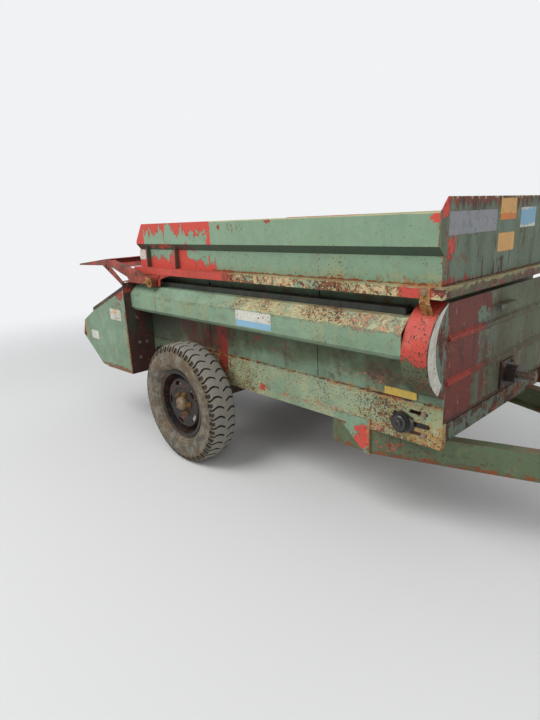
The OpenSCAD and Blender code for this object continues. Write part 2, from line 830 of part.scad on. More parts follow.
// Drive covers

module guard_round(r, x0, x1) {
    bar_x(r, x0, x1, -cover_half + guard_r, guard_z);
}

module chain_guard() {
    color(red) from_front() difference() {
        guard_round(guard_r, -case_depth, 0);
        guard_round(guard_r - cover_t, -case_depth - 1, -cover_t);
        block([-case_depth - 2, -upper_half, guard_z - guard_r - 1], [1, 0, guard_z + guard_r + 1]);
    }
}

module guard_strap() {
    low = [-cover_half + guard_r - 135, guard_z + 160];
    color([0.55, 0.32, 0.18]) from_front() difference() {
        along_x(-67, -22) polygon([[-flange_half - 5, flange_top_z - 3], [-flange_half, flange_top_z - 3],
            [-flange_half, flange_z - 14], [low[0] + 4, low[1] - 8], [low[0], low[1] - 16],
            [low[0] - 5, low[1] - 8], [-flange_half - 5, flange_z - 18]]);
        guard_round(guard_r, -80, 0);
    }
}

// Outline of the shaft cover, set in from its outer face
module cover_outline(inset) {
    cut = inset * tan(22.5);
    polygon([[-upper_half, side_top_z - inset], [-cover_half + cover_slope + cut, side_top_z - inset],
        [-cover_half + inset, cover_top_z - cut], [-cover_half + inset, cover_low_z + cut],
        [-cover_half + cover_bevel + cut, cover_low_z - cover_bevel + inset],
        [-upper_half, cover_low_z - cover_bevel + inset]]);
}

module shaft_cover() {
    color(green) from_front() difference() {
        along_x(-body_len, -case_depth) cover_outline(0);
        along_x(-body_len - 1, -case_depth + 1) cover_outline(cover_t);
        block([-body_len - 1, -upper_half - 0.01, cover_low_z], [0, 0, side_top_z - cover_t - 1]);
    }
}

// Rails that close the gap above the side sheets, with a rolled front end
module side_rails() {
    color(dark) from_front() both_sides() {
        difference() {
            block([-body_len, -body_half - rail_w, side_top_z],
                [-rail_front, -upper_half + sheet, side_top_z + rail_h]);
            block([-body_len - 1, -body_half - rail_w + cover_t, side_top_z + cover_t],
                [-rail_front + 1, -upper_half + sheet - cover_t, side_top_z + rail_h - cover_t]);
        }
        bar_y(rail_h / 2, -body_half - rail_w, -upper_half + sheet, -rail_front, side_top_z + rail_h / 2);
    }
}

// Rear end

post_x = -body_len - sheet;
tail_low_z = skirt_z - 52;
post_top_z = side_top_z + 24;

module rear_posts() {
    color(brown) from_front() both_sides()
        block([post_x, -tail_half, tail_low_z], [-body_len, -upper_half, post_top_z]);
}

// Corners of the guard plate: distance behind the post and height over the post's lower end
tail_corners = [[0, 612], [529, 411], [702, 325], [751, 206], [461, 1], [362, -9], [0, 0]];

module tail_plates() {
    color(green) from_front() both_sides() along_y(-tail_half, -tail_half + sheet)
        polygon([for (corner = tail_corners) [post_x - corner[0], tail_low_z + corner[1]]]);
}

module deflector() {
    inner = tail_half - sheet;
    lift = 28;
    top = [post_x, tail_low_z + tail_corners[0][1] + lift];
    end = [post_x - tail_corners[1][0], tail_low_z + tail_corners[1][1] + lift];
    color(dark) from_front() {
        along_y(-inner, inner) polygon([top, end, [end[0], end[1] - sheet], [top[0], top[1] - sheet]]);
        both_sides() along_y(-inner, -inner + sheet) polygon([top, end, [end[0], end[1] - lift - 8],
            [top[0], top[1] - lift - 8]]);
    }
}

// Chain case between two shafts: a flat body with round ends
module chain_case(a, b, ra, rb, y0, y1) {
    run = b - a;
    turn = atan2(run[1], run[0]);
    lean = asin((ra - rb) / norm(run));
    bar_y(ra, y0, y1, a[0], a[1]);
    bar_y(rb, y0, y1, b[0], b[1]);
    side_a = [for (s = [1, -1]) a + ra * [cos(turn + s * (90 - lean)), sin(turn + s * (90 - lean))]];
    side_b = [for (s = [-1, 1]) b + rb * [cos(turn + s * (90 - lean)), sin(turn + s * (90 - lean))]];
    along_y(y0, y1) polygon(concat(side_a, side_b));
}

case_w = 46;
side_shaft_at = [-body_len - side_shaft_out, side_top_z - side_shaft_drop];
cross_at = [spinner_x, spinner_z - cross_drop];

module beater_drive() {
    out = tail_half - sheet;
    mid = cover_half - side_shaft_in;
    color(dark) from_front() difference() {
        union() {
            chain_case(side_shaft_at, beater_at, 44, 62, -out, -out + case_w);
            block([side_shaft_at[0] - 46, -mid - 46, side_shaft_at[1] - 46],
                [side_shaft_at[0] + 46, -mid + 46, side_shaft_at[1] + 46]);
            bar_y(30, -out, -mid, side_shaft_at[0], side_shaft_at[1]);
            bar_x(26, side_shaft_at[0], post_x, -mid, side_shaft_at[1]);
        }
        bar_y(shaft_r + run_gap, -out + 8, -out + case_w + 1, beater_at[0], beater_at[1]);
    }
}

gear_half = 55;
gear_low_z = cross_at[1] - 41;
gear_top_z = spinner_z - 20;

module spinner_drive() {
    out = tail_half - sheet;
    color(dark) from_front() difference() {
        union() {
            chain_case(cross_at, beater_at, 50, 62, out - case_w, out);
            bar_y(24, -spinner_y, out, cross_at[0], cross_at[1]);
            both_sides() {
                block([cross_at[0] - gear_half, -spinner_y - gear_half, gear_low_z],
                    [cross_at[0] + gear_half, -spinner_y + gear_half, cross_at[1] + 34]);
                translate([cross_at[0], -spinner_y, cross_at[1]])
                    cylinder(r = 40, h = gear_top_z - cross_at[1]);
            }
        }
        bar_y(shaft_r + run_gap, out - case_w - 1, out - 8, beater_at[0], beater_at[1]);
        both_sides() translate([cross_at[0], -spinner_y, gear_top_z - 40])
            cylinder(r = input_r + run_gap, h = 41);
    }
}

module spinner_carrier() {
    arm = 32;
    beam = [-body_len + carrier_t, -body_len + carrier_t + carrier_w];
    low = gear_low_z - 40;
    arm_end = cross_at[0] - gear_half - 15;
    color(brown) from_front() {
        difference() {
            block([beam[0], -sill_out, skirt_z - carrier_h], [beam[1], sill_out, skirt_z]);
            block([beam[0] + carrier_t, -sill_out - 1, skirt_z - carrier_h + carrier_t],
                [beam[1] + 1, sill_out + 1, skirt_z - carrier_t]);
        }
        both_sides() {
            difference() {
                block([arm_end, -spinner_y - arm, low], [beam[1], -spinner_y + arm, gear_low_z]);
                block([arm_end - 1, -spinner_y - arm + 6, low - 1],
                    [beam[0], -spinner_y + arm - 6, gear_low_z - 6]);
            }
            block([beam[0], -spinner_y - arm, low], [beam[1], -spinner_y + arm, skirt_z - carrier_h]);
        }
    }
}

module beater() {
    end = hopper_low_half + 80;
    step = 2 * (end - 30) / (paddle_count - 1);
    color(red) from_front() {
        difference() {
            union() {
                bar_y(drum_r, -end, end, beater_at[0], beater_at[1]);
                both_sides() bar_y(drum_r + drum_rim, -end, -end + 6, beater_at[0], beater_at[1]);
            }
            bar_y(drum_r - 6, -end + 8, end - 8, beater_at[0], beater_at[1]);
        }
        bar_y(shaft_r, -tail_half + sheet + 10, tail_half - sheet - 10, beater_at[0], beater_at[1]);
        for (i = [0:paddle_count - 1])
            translate([beater_at[0], -end + 30 + i * step, beater_at[1]]) rotate([0, i * 75, 0])
                rotate([0, 0, 25]) along_y(-4, 4)
                    polygon([[-32, drum_r - 16], [32, drum_r - 16], [32, beater_r - 40], [14, beater_r - 2],
                        [-14, beater_r - 2], [-32, beater_r - 40]]);
    }
}

// One spinner disc with its vanes, turned one way or the other
module spinner(turn) {
    vane_len = spinner_r - vane_in - vane_edge;
    color(steel) {
        cylinder(r = spinner_r, h = 6);
        cylinder(r = 46, h = 30);
        translate([0, 0, -spinner_stub + run_gap]) cylinder(r = input_r, h = spinner_stub);
        for (i = [0:3])
            rotate(i * 90) translate([vane_in, turn * 18, 0]) rotate(turn * -8) {
                block([0, -3, 5], [vane_len, 3, 6 + vane_h]);
                block([0, turn > 0 ? -30 : 0, 5], [vane_len, turn > 0 ? 0 : 30, 11]);
            }
    }
}

module spinner_right() {
    from_front() translate([cross_at[0], -spinner_y, spinner_z]) spinner(1);
}

module spinner_left() {
    from_front() translate([cross_at[0], spinner_y, spinner_z]) spinner(-1);
}

// Hood, hinged on both sides of the hopper's rear end

boss_r = 32;
hinge_pin_r = 10;
deck_x = ridge_at[0] + deck_run;
hood_t = 5;
// The hood rests on the posts this far below its hinge
rest_drop = hinge_at[1] - post_top_z - run_gap;
// Corners of the brace under the ridge and of the window above it, from the hinge
brace_corners = [[-640, 92], [-373, -40], [-340, -rest_drop]];
window_corners = [[-530, 91], [-285, 25], [-270, 5], [-365, -9]];

module hood_side() {
    along_y(-hood_half, -hood_half + hood_t) difference() {
        polygon(concat([hinge_at + [0, boss_r], ridge_at, tip_at, tip_at - [0, 10]],
            [for (corner = brace_corners) hinge_at + corner],
            [hinge_at - [20, rest_drop], hinge_at - [0, 10]]));
        polygon([for (corner = window_corners) hinge_at + corner]);
    }
    along_y(-hood_half, -hood_half + hood_iron)
        polygon([hinge_at + [0, boss_r], ridge_at, ridge_at - [0, hood_t], hinge_at + [0, boss_r - hood_t]]);
    bar_y(boss_r, -hood_half, -hood_half + hood_iron, hinge_at[0], hinge_at[1]);
}

module hood() {
    inner = hood_half - hood_t;
    slope = (ridge_rise - boss_r) / (hinge_at[0] - ridge_at[0]);
    front_z = ridge_at[1] - (deck_x - ridge_at[0]) * slope;
    color(red) from_front() difference() {
        union() {
            both_sides() hood_side();
            along_y(-inner, inner) polygon([[deck_x, front_z - 26], ridge_at - [0, 26], tip_at - [0, 6],
                tip_at - [0, 10], ridge_at - [0, 30], [deck_x, front_z - 30]]);
            block([ridge_at[0], -inner, ridge_at[1] - hood_iron], [ridge_at[0] + hood_t, inner, ridge_at[1]]);
            block([ridge_at[0], -inner, ridge_at[1] - hood_t], [ridge_at[0] + hood_iron, inner, ridge_at[1]]);
        }
        bar_y(hinge_pin_r + run_gap, -hood_half - 1, hood_half + 1, hinge_at[0], hinge_at[1]);
    }
}

// Hinge plates, with wings that taper off under the flange frame
module hood_hinges() {
    in = flange_half - sheet;
    wing_z = flange_z - hinge_at[1];
    color(brown) from_front() both_sides() {
        translate([hinge_at[0], 0, hinge_at[1]]) along_y(-in, -in + 8)
            polygon([[180, wing_z], [180, wing_z + flange_h - sheet], [-250, wing_z + flange_h - sheet],
                [-250, wing_z], [-60, wing_z - 20], [-40, -28], [40, -28], [60, wing_z - 28]]);
        bar_y(hinge_pin_r, -hood_half - 8, -in + 1, hinge_at[0], hinge_at[1]);
    }
}

// Drive input and stand

// The input shaft is thicker in its bearing and shows a shoulder ahead of it
bearing_len = 62;
input_journal_r = input_r + 2.5;

module input_bearing() {
    color(dark) from_front() difference() {
        union() {
            block([0, -75, input_z - 70], [10, 75, input_z + 70]);
            bar_x(44, 0, bearing_len, 0, input_z);
        }
        bar_x(input_journal_r + run_gap, -1, bearing_len + 1, 0, input_z);
    }
}

module input_shaft() {
    color(steel) from_front() {
        bar_x(input_r, bearing_len, bearing_len + 6 + input_len, 0, input_z);
        bar_x(input_journal_r, -70, bearing_len + 6, 0, input_z);
        bar_x(input_journal_r + 10, -60, -sheet - 6, 0, input_z);
    }
}

module stand_ears() {
    gap = stand_side / 2 + 6;
    color(green) from_front() {
        both_sides() block([stand_x - 36, -gap - 10, stand_z - 40], [stand_x + 36, -gap, stand_member_z()]);
        block([stand_x + 34.5, -gap, stand_z - 40], [stand_x + 44, gap, stand_z - 16]);
        bar_y(12, -gap - 14, gap + 14, stand_x, stand_z);
    }
}

module stand_leg() {
    half = stand_side / 2;
    foot_x = stand_z * tan(stand_lean);
    color(dark) from_front() translate([stand_x, 0, 0]) difference() {
        union() {
            bar_y(half, -half, half, 0, stand_z);
            along_y(-half, half)
                polygon([[-half, stand_z], [half, stand_z], [foot_x + half, 6], [foot_x - half, 6]]);
            block([foot_x - foot_reach, -foot_half, 0], [foot_x + foot_reach, foot_half, 8]);
        }
        along_y(-half + 5, half - 5) polygon([[-half + 5, stand_z - half], [half - 5, stand_z - half],
            [foot_x + half - 8, 8], [foot_x - half + 2, 8]]);
        bar_y(12 + run_gap, -half - 1, half + 1, 0, stand_z);
    }
}

drawbar();
gussets();
chassis();
axle();
side_right();
side_left();
front_wall();
head_board();
board_right();
board_left();
flange_frame();
hopper_right();
hopper_left();
hopper_front();
wall_ribs();
floor();
floor_chain();
chain_shafts();
chain_bearings();
feed_gearbox();
chain_guard();
guard_strap();
shaft_cover();
side_rails();
rear_posts();
tail_plates();
deflector();
beater_drive();
spinner_drive();
spinner_carrier();
beater();
spinner_right();
spinner_left();
hood();
hood_hinges();
input_bearing();
input_shaft();
stand_ears();
stand_leg();
tyre_right();
rim_right();
hub_right();
tyre_left();
rim_left();
hub_left();
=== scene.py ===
import json
import math

import bpy
from mathutils import Matrix, Vector

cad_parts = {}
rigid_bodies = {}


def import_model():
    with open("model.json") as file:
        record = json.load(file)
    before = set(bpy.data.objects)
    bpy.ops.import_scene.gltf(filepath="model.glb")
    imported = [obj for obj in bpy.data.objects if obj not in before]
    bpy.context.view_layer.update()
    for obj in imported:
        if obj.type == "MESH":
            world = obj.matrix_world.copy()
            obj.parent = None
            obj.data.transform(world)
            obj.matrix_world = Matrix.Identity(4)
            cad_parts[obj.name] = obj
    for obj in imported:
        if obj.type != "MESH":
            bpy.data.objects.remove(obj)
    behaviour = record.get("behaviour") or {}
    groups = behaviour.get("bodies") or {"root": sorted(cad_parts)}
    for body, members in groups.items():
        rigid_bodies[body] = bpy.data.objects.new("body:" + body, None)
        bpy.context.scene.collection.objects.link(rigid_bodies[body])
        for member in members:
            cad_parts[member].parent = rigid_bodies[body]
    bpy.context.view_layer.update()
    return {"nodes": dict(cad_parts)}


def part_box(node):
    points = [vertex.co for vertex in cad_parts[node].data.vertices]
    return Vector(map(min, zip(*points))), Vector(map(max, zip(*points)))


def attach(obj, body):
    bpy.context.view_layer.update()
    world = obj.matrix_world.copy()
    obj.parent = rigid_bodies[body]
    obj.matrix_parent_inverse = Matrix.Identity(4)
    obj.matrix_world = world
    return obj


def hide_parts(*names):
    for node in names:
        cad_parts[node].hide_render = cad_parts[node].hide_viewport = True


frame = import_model()
nodes = frame["nodes"]
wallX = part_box("side_right")[1][0]      # plane of the front wall, everything behind it has lower x
print("frame loaded, front wall at", round(wallX, 3))


# Camera, at the photograph's viewpoint

view = {
    "ahead": 0.963,          # distance ahead of the front wall
    "aside": 1.874,          # distance outside the right side sheet
    "height": 1.515,
    "lens": 25.3,
    "sensor": 36,
    "right": (0.6891, 0.7233, -0.0440),
    "up": (-0.1671, 0.2176, 0.9616),
}


def addCamera():
    data = bpy.data.cameras.new("viewpoint")
    data.lens = view["lens"]
    data.sensor_width = view["sensor"]
    camera = bpy.data.objects.new("viewpoint", data)
    bpy.context.collection.objects.link(camera)
    right = Vector(view["right"]).normalized()
    up = Vector(view["up"])
    up = (up - right * up.dot(right)).normalized()
    back = right.cross(up)
    turn = Matrix((right, up, back)).transposed().to_4x4()
    place = (wallX + view["ahead"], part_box("side_right")[0][1] - view["aside"], view["height"])
    camera.matrix_world = Matrix.Translation(place) @ turn
    bpy.context.scene.camera = camera


# Soft studio light and a pale floor

studio = {
    "floorSize": 60,
    "floorTone": (0.70, 0.70, 0.69, 1.0),
    "floorRough": 0.9,
    "paleTone": (0.88, 0.89, 0.90, 1.0),     # what shows behind the object
    "floorNear": 3.2,                        # the floor keeps its shadows up to here
    "floorFar": 7.5,                         # and is as pale as the background from here
    "worldTone": (0.93, 0.96, 1.0, 1.0),
    "worldLevel": 0.42,
    "lampSize": 4.5,
    "lampAim": (0.0, 0.0, 0.7),
    "lamps": {                               # place and power
        "keyLamp": ((-1.6, -5.2, 6.4), 400.0),
        "fillLamp": ((5.2, -3.0, 4.2), 130.0),
        "backLamp": ((-1.0, 6.0, 5.0), 130.0),
    },
}


def addLamp(name, place, power, size):
    data = bpy.data.lights.new(name, "AREA")
    data.energy = power
    data.size = size
    lamp = bpy.data.objects.new(name, data)
    bpy.context.collection.objects.link(lamp)
    lamp.location = place
    aim = Vector(studio["lampAim"]) - Vector(place)
    lamp.rotation_euler = aim.to_track_quat("-Z", "Y").to_euler()


def seenRays(tree):
    rays = tree.nodes.new("ShaderNodeLightPath")
    camera = maths(tree, "MAXIMUM", rays.outputs["Is Camera Ray"], rays.outputs["Is Glossy Ray"])
    return maths(tree, "MAXIMUM", camera, rays.outputs["Is Transmission Ray"])


def mixShaders(tree, mask, a, b, output):
    pick = tree.nodes.new("ShaderNodeMixShader")
    tree.links.new(mask, pick.inputs[0])
    tree.links.new(a, pick.inputs[1])
    tree.links.new(b, pick.inputs[2])
    tree.links.new(pick.outputs[0], output)


def addWorld():
    world = bpy.data.worlds.new("softSky")
    bpy.context.scene.world = world
    world.use_nodes = True
    tree = world.node_tree
    sky = tree.nodes["Background"]
    sky.inputs["Color"].default_value = studio["worldTone"]
    sky.inputs["Strength"].default_value = studio["worldLevel"]
    pale = tree.nodes.new("ShaderNodeBackground")
    pale.inputs["Color"].default_value = studio["paleTone"]
    surface = tree.nodes["World Output"].inputs["Surface"]
    mixShaders(tree, seenRays(tree), sky.outputs[0], pale.outputs[0], surface)


def addFloor():
    deselect()
    bpy.ops.mesh.primitive_plane_add(size=studio["floorSize"])
    floor = bpy.context.object
    floor.name = "studioFloor"
    paper, tree, shader, place = newMaterial("floorPaper")
    shader.inputs["Base Color"].default_value = studio["floorTone"]
    shader.inputs["Roughness"].default_value = studio["floorRough"]
    glow = tree.nodes.new("ShaderNodeEmission")
    glow.inputs["Color"].default_value = studio["paleTone"]
    fade = ramp(tree, vectorLength(tree, place), studio["floorNear"], studio["floorFar"])
    mask = maths(tree, "MULTIPLY", fade, seenRays(tree))
    surface = tree.nodes["Material Output"].inputs["Surface"]
    mixShaders(tree, mask, shader.outputs[0], glow.outputs[0], surface)
    floor.data.materials.append(paper)


def addStudio():
    bpy.context.scene.view_settings.view_transform = "Standard"
    addWorld()
    for name, (place, power) in studio["lamps"].items():
        addLamp(name, place, power, studio["lampSize"])
    addFloor()


def deselect():
    if bpy.context.mode != "OBJECT":
        bpy.ops.object.mode_set(mode="OBJECT")
    bpy.ops.object.select_all(action="DESELECT")


# Node helpers: each takes sockets or plain values and gives back a socket

def feed(tree, socket, value):
    if isinstance(value, bpy.types.NodeSocket):
        tree.links.new(value, socket)
    else:
        socket.default_value = value


def maths(tree, operation, a, b=0.0, clamp=False):
    node = tree.nodes.new("ShaderNodeMath")
    node.operation = operation
    node.use_clamp = clamp
    feed(tree, node.inputs[0], a)
    feed(tree, node.inputs[1], b)
    return node.outputs[0]


def vectorMaths(tree, operation, a, b):
    node = tree.nodes.new("ShaderNodeVectorMath")
    node.operation = operation
    feed(tree, node.inputs[0], a)
    feed(tree, node.inputs[1], b)
    return node.outputs[0]


def vectorLength(tree, vector):
    node = tree.nodes.new("ShaderNodeVectorMath")
    node.operation = "LENGTH"
    feed(tree, node.inputs[0], vector)
    return node.outputs["Value"]


def noise(tree, place, scale, detail=4.0, rough=0.6):
    node = tree.nodes.new("ShaderNodeTexNoise")
    feed(tree, node.inputs["Vector"], place)
    feed(tree, node.inputs["Scale"], scale)
    node.inputs["Detail"].default_value = detail
    node.inputs["Roughness"].default_value = rough
    return node.outputs["Fac"]


def ramp(tree, value, low, high, start=0.0, end=1.0):
    node = tree.nodes.new("ShaderNodeMapRange")
    node.interpolation_type = "SMOOTHSTEP"
    feed(tree, node.inputs["Value"], value)
    feed(tree, node.inputs["From Min"], low)
    feed(tree, node.inputs["From Max"], high)
    feed(tree, node.inputs["To Min"], start)
    feed(tree, node.inputs["To Max"], end)
    return node.outputs[0]


def straightRamp(tree, value, low, high):
    node = tree.nodes.new("ShaderNodeMapRange")
    feed(tree, node.inputs["Value"], value)
    feed(tree, node.inputs["From Min"], low)
    feed(tree, node.inputs["From Max"], high)
    return node.outputs[0]


def blendColor(tree, mask, a, b):
    node = tree.nodes.new("ShaderNodeMix")
    node.data_type = "RGBA"
    feed(tree, node.inputs["Factor"], mask)
    feed(tree, node.inputs["A"], a)
    feed(tree, node.inputs["B"], b)
    return node.outputs["Result"]


def split(tree, vector):
    node = tree.nodes.new("ShaderNodeSeparateXYZ")
    feed(tree, node.inputs[0], vector)
    return node.outputs[0], node.outputs[1], node.outputs[2]


def join(tree, x, y, z):
    node = tree.nodes.new("ShaderNodeCombineXYZ")
    feed(tree, node.inputs[0], x)
    feed(tree, node.inputs[1], y)
    feed(tree, node.inputs[2], z)
    return node.outputs[0]


def newMaterial(name):
    material = bpy.data.materials.new(name)
    material.use_nodes = True
    tree = material.node_tree
    place = tree.nodes.new("ShaderNodeTexCoord").outputs["Object"]
    return material, tree, tree.nodes["Principled BSDF"], place


def addBump(tree, shader, height, strength, distance):
    bump = tree.nodes.new("ShaderNodeBump")
    bump.inputs["Strength"].default_value = strength
    bump.inputs["Distance"].default_value = distance
    tree.links.new(height, bump.inputs["Height"])
    tree.links.new(bump.outputs["Normal"], shader.inputs["Normal"])


def newGroup(name, inputs, outputs):
    group = bpy.data.node_groups.new(name, "ShaderNodeTree")
    for label, kind, value in inputs:
        socket = group.interface.new_socket(name=label, in_out="INPUT", socket_type="NodeSocket" + kind)
        if value is not None:
            socket.default_value = value
    for label, kind in outputs:
        group.interface.new_socket(name=label, in_out="OUTPUT", socket_type="NodeSocket" + kind)
    entry = group.nodes.new("NodeGroupInput")
    leave = group.nodes.new("NodeGroupOutput")
    return group, entry, leave


# Old paint: cloudy tone, rain streaks, fine specks of rust and bare worn edges

paintGrain = {               # scale, detail and roughness of each pattern
    "cloud": (2.3, 5.0, 0.62),
    "grit": (26.0, 4.0, 0.7),
    "rain": (24.0, 4.0, 0.6),
    "blot": (11.0, 6.0, 0.75),
    "speck": (95.0, 2.0, 0.5),
    "spread": (5.0, 4.0, 0.65),
    "wear": (34.0, 4.0, 0.65),
    "fine": (190.0, 2.0, 0.5),
}


def buildOldPaint():
    group, entry, leave = newGroup("oldPaint", [
        ("Place", "Vector", None), ("Paint", "Color", (0.3, 0.4, 0.3, 1)),
        ("Deep", "Color", (0.2, 0.3, 0.2, 1)), ("Rust", "Color", (0.2, 0.08, 0.03, 1)),
        ("Clouds", "Float", 0.5), ("Streaks", "Float", 0.3), ("Specks", "Float", 0.2),
        ("Gloss", "Float", 0.45), ("Edges", "Float", 0.0)],
        [("Color", "Color"), ("Rough", "Float"), ("Height", "Float")])
    given = entry.outputs
    place = given["Place"]

    def grain(name, spot=place):
        return noise(group, spot, *paintGrain[name])

    cloud = ramp(group, grain("cloud"), 0.35, 0.68)
    grit = ramp(group, grain("grit"), 0.40, 0.66)
    shade = maths(group, "ADD", maths(group, "MULTIPLY", cloud, 0.65), maths(group, "MULTIPLY", grit, 0.35))
    shade = maths(group, "MULTIPLY", shade, given["Clouds"])
    color = blendColor(group, shade, given["Paint"], given["Deep"])
    tall = vectorMaths(group, "MULTIPLY", place, (1.0, 1.0, 0.06))
    rain = ramp(group, grain("rain", tall), 0.50, 0.72)
    color = blendColor(group, maths(group, "MULTIPLY", rain, given["Streaks"]), color, given["Deep"])
    blot = ramp(group, grain("blot", vectorMaths(group, "ADD", place, (5.0, 2.0, 9.0))), 0.55, 0.72)
    grime = maths(group, "MULTIPLY", blot, maths(group, "MULTIPLY", given["Specks"], 0.7))
    color = blendColor(group, grime, color, given["Rust"])
    level = maths(group, "SUBTRACT", 0.74, maths(group, "MULTIPLY", given["Specks"], 0.24))
    speck = ramp(group, grain("speck"), level, maths(group, "ADD", level, 0.03))
    speck = maths(group, "MULTIPLY", speck, ramp(group, grain("spread"), 0.44, 0.60))
    wear = maths(group, "MULTIPLY", given["Edges"], ramp(group, grain("wear"), 0.42, 0.52))
    bare = maths(group, "MAXIMUM", speck, wear)
    color = blendColor(group, bare, color, given["Rust"])
    rough = maths(group, "MULTIPLY", maths(group, "ADD", shade, bare), 0.25)
    rough = maths(group, "ADD", rough, given["Gloss"], clamp=True)
    height = maths(group, "SUBTRACT", maths(group, "MULTIPLY", grain("fine"), 0.25),
                   maths(group, "MULTIPLY", bare, 0.5))
    for label, socket in (("Color", color), ("Rough", rough), ("Height", height)):
        group.links.new(socket, leave.inputs[label])
    return group


# A zone inside a box with a ragged rim, broken up by grain and edged by a rim of rust

zoneForm = {
    "clear": 0.80,               # height of the grain that a cover of 0 leaves clear
    "reach": 0.60,               # how far a cover of 1 lowers it
    "halo": 0.035,               # width of the rusty rim, in the grain's height
    "onset": 0.06,               # share of the fade over which the zone sets in
    "broad": (3.6, 3.0, 0.6),    # the slow pattern behind patchy: scale, detail, roughness
}


def buildWearZone():
    group, entry, leave = newGroup("wearZone", [
        ("Place", "Vector", None), ("Low", "Vector", None), ("High", "Vector", None),
        ("Ragged", "Float", 0.02), ("Fade", "Vector", (0.004, 0.004, 0.004)), ("Grain", "Float", 12.0),
        ("Stretch", "Vector", (1, 1, 1)), ("Cover", "Float", 1.2), ("Crisp", "Float", 0.02),
        ("Tint", "Color", (0.2, 0.1, 0.05, 1)), ("Rim", "Float", 0.0),
        ("RimTint", "Color", (0.1, 0.04, 0.02, 1)), ("Power", "Float", 1.0), ("Finish", "Float", 0.6),
        ("Relief", "Float", 0.0), ("Patchy", "Float", 0.25), ("Color", "Color", (0, 0, 0, 1)),
        ("Rough", "Float", 0.5), ("Height", "Float", 0.0)],
        [("Color", "Color"), ("Rough", "Float"), ("Height", "Float")])
    given = entry.outputs
    place, grain = given["Place"], given["Grain"]
    warped = vectorMaths(group, "MULTIPLY", place, given["Stretch"])
    ripple = maths(group, "SUBTRACT", noise(group, warped, grain, 4.0, 0.6), 0.5)
    shift = maths(group, "MULTIPLY", maths(group, "MULTIPLY", ripple, 4.0), given["Ragged"])
    moved = vectorMaths(group, "ADD", place, join(group, shift, shift, shift))
    inside = 1.0
    ends = [split(group, given[label]) for label in ("Low", "High", "Fade")]
    for value, low, high, fade in zip(split(group, moved), *ends):
        rise = straightRamp(group, value, maths(group, "SUBTRACT", low, fade), low)
        fall = straightRamp(group, value, maths(group, "ADD", high, fade), high)
        inside = maths(group, "MULTIPLY", inside, maths(group, "MULTIPLY", rise, fall))
    level = maths(group, "MULTIPLY", given["Cover"], zoneForm["reach"])
    level = maths(group, "SUBTRACT", zoneForm["clear"], level)
    grainy = noise(group, vectorMaths(group, "ADD", warped, (3.1, 7.7, 1.3)), grain, 6.0, 0.65)
    broad = noise(group, vectorMaths(group, "ADD", place, (8.0, 1.0, 4.0)), *zoneForm["broad"])
    broad = maths(group, "SUBTRACT", broad, 0.5)
    field = maths(group, "ADD", grainy, maths(group, "MULTIPLY", maths(group, "SUBTRACT", inside, 1.0), 0.6))
    field = maths(group, "ADD", field, maths(group, "MULTIPLY", broad, given["Patchy"]))
    within = ramp(group, inside, 0.0, zoneForm["onset"])
    crisp = maths(group, "ADD", level, given["Crisp"])
    mask = maths(group, "MULTIPLY", within, ramp(group, field, level, crisp))
    outer = maths(group, "SUBTRACT", level, zoneForm["halo"])
    halo = maths(group, "MULTIPLY", within, ramp(group, field, outer, level))
    rim = maths(group, "MULTIPLY", maths(group, "SUBTRACT", halo, mask, clamp=True), given["Rim"])
    mask = maths(group, "MULTIPLY", mask, given["Power"])
    color = blendColor(group, rim, given["Color"], given["RimTint"])
    color = blendColor(group, mask, color, given["Tint"])
    rough = maths(group, "ADD", maths(group, "MULTIPLY", mask, given["Finish"]),
                  maths(group, "MULTIPLY", maths(group, "SUBTRACT", 1.0, mask), given["Rough"]))
    height = maths(group, "ADD", given["Height"], maths(group, "MULTIPLY", mask, given["Relief"]))
    for label, socket in (("Color", color), ("Rough", rough), ("Height", height)):
        group.links.new(socket, leave.inputs[label])
    return group


oldPaint = buildOldPaint()
wearZone = buildWearZone()
addCamera()
addStudio()
print("camera and studio stand")


def srgb(red, green, blue):
    def linear(value):
        value = value / 255.0
        return value / 12.92 if value <= 0.04045 else ((value + 0.055) / 1.055) ** 2.4
    return (linear(red), linear(green), linear(blue), 1.0)


tones = {
    "sage": srgb(126, 151, 126), "sageDeep": srgb(102, 128, 102), "moss": srgb(78, 88, 62),
    "sageDim": srgb(96, 116, 96), "teal": srgb(92, 126, 114), "coral": srgb(190, 72, 60),
    "coralDeep": srgb(146, 54, 44), "pink": srgb(188, 118, 98), "maroon": srgb(104, 50, 42),
    "maroonDeep": srgb(66, 38, 32), "rust": srgb(122, 66, 34), "rustDark": srgb(64, 38, 26),
    "ochre": srgb(164, 122, 66), "cream": srgb(190, 180, 136), "straw": srgb(150, 146, 104),
    "darkGreen": srgb(44, 62, 48), "drawGreen": srgb(88, 104, 78), "brown": srgb(72, 48, 38),
    "black": srgb(31, 30, 29), "slate": srgb(58, 66, 60), "dust": srgb(146, 134, 114),
    "steel": srgb(114, 108, 98), "greyGreen": srgb(98, 112, 98), "rubber": srgb(84, 82, 78),
    "rubberDark": srgb(40, 39, 37), "treadDust": srgb(134, 131, 123), "sideDust": srgb(132, 126, 112),
    "mud": srgb(112, 94, 70), "white": srgb(206, 206, 196),
    "silver": srgb(122, 126, 136), "orange": srgb(218, 154, 44), "orangeDeep": srgb(196, 96, 36),
    "skyBlue": srgb(112, 164, 192), "yellow": srgb(208, 172, 48),
}

far = 9.0       # a box side that lies outside the machine


# Grain is the pattern's scale, cover how much of it shows, drawn how far it runs into streaks (1 is even)

def zone(tint, grain=12.0, cover=1.2, x=(-far, far), y=(-far, far), z=(-far, far),
         fade=(0.004, 0.004, 0.004), drawn=1.0, **more):
    low = (wallX + x[0], y[0], z[0])
    high = (wallX + x[1], y[1], z[1])
    made = {"tint": tint, "grain": grain, "cover": cover, "low": low, "high": high, "fade": fade,
            "stretch": (1.0, 1.0, drawn)}
    return dict(made, **more)


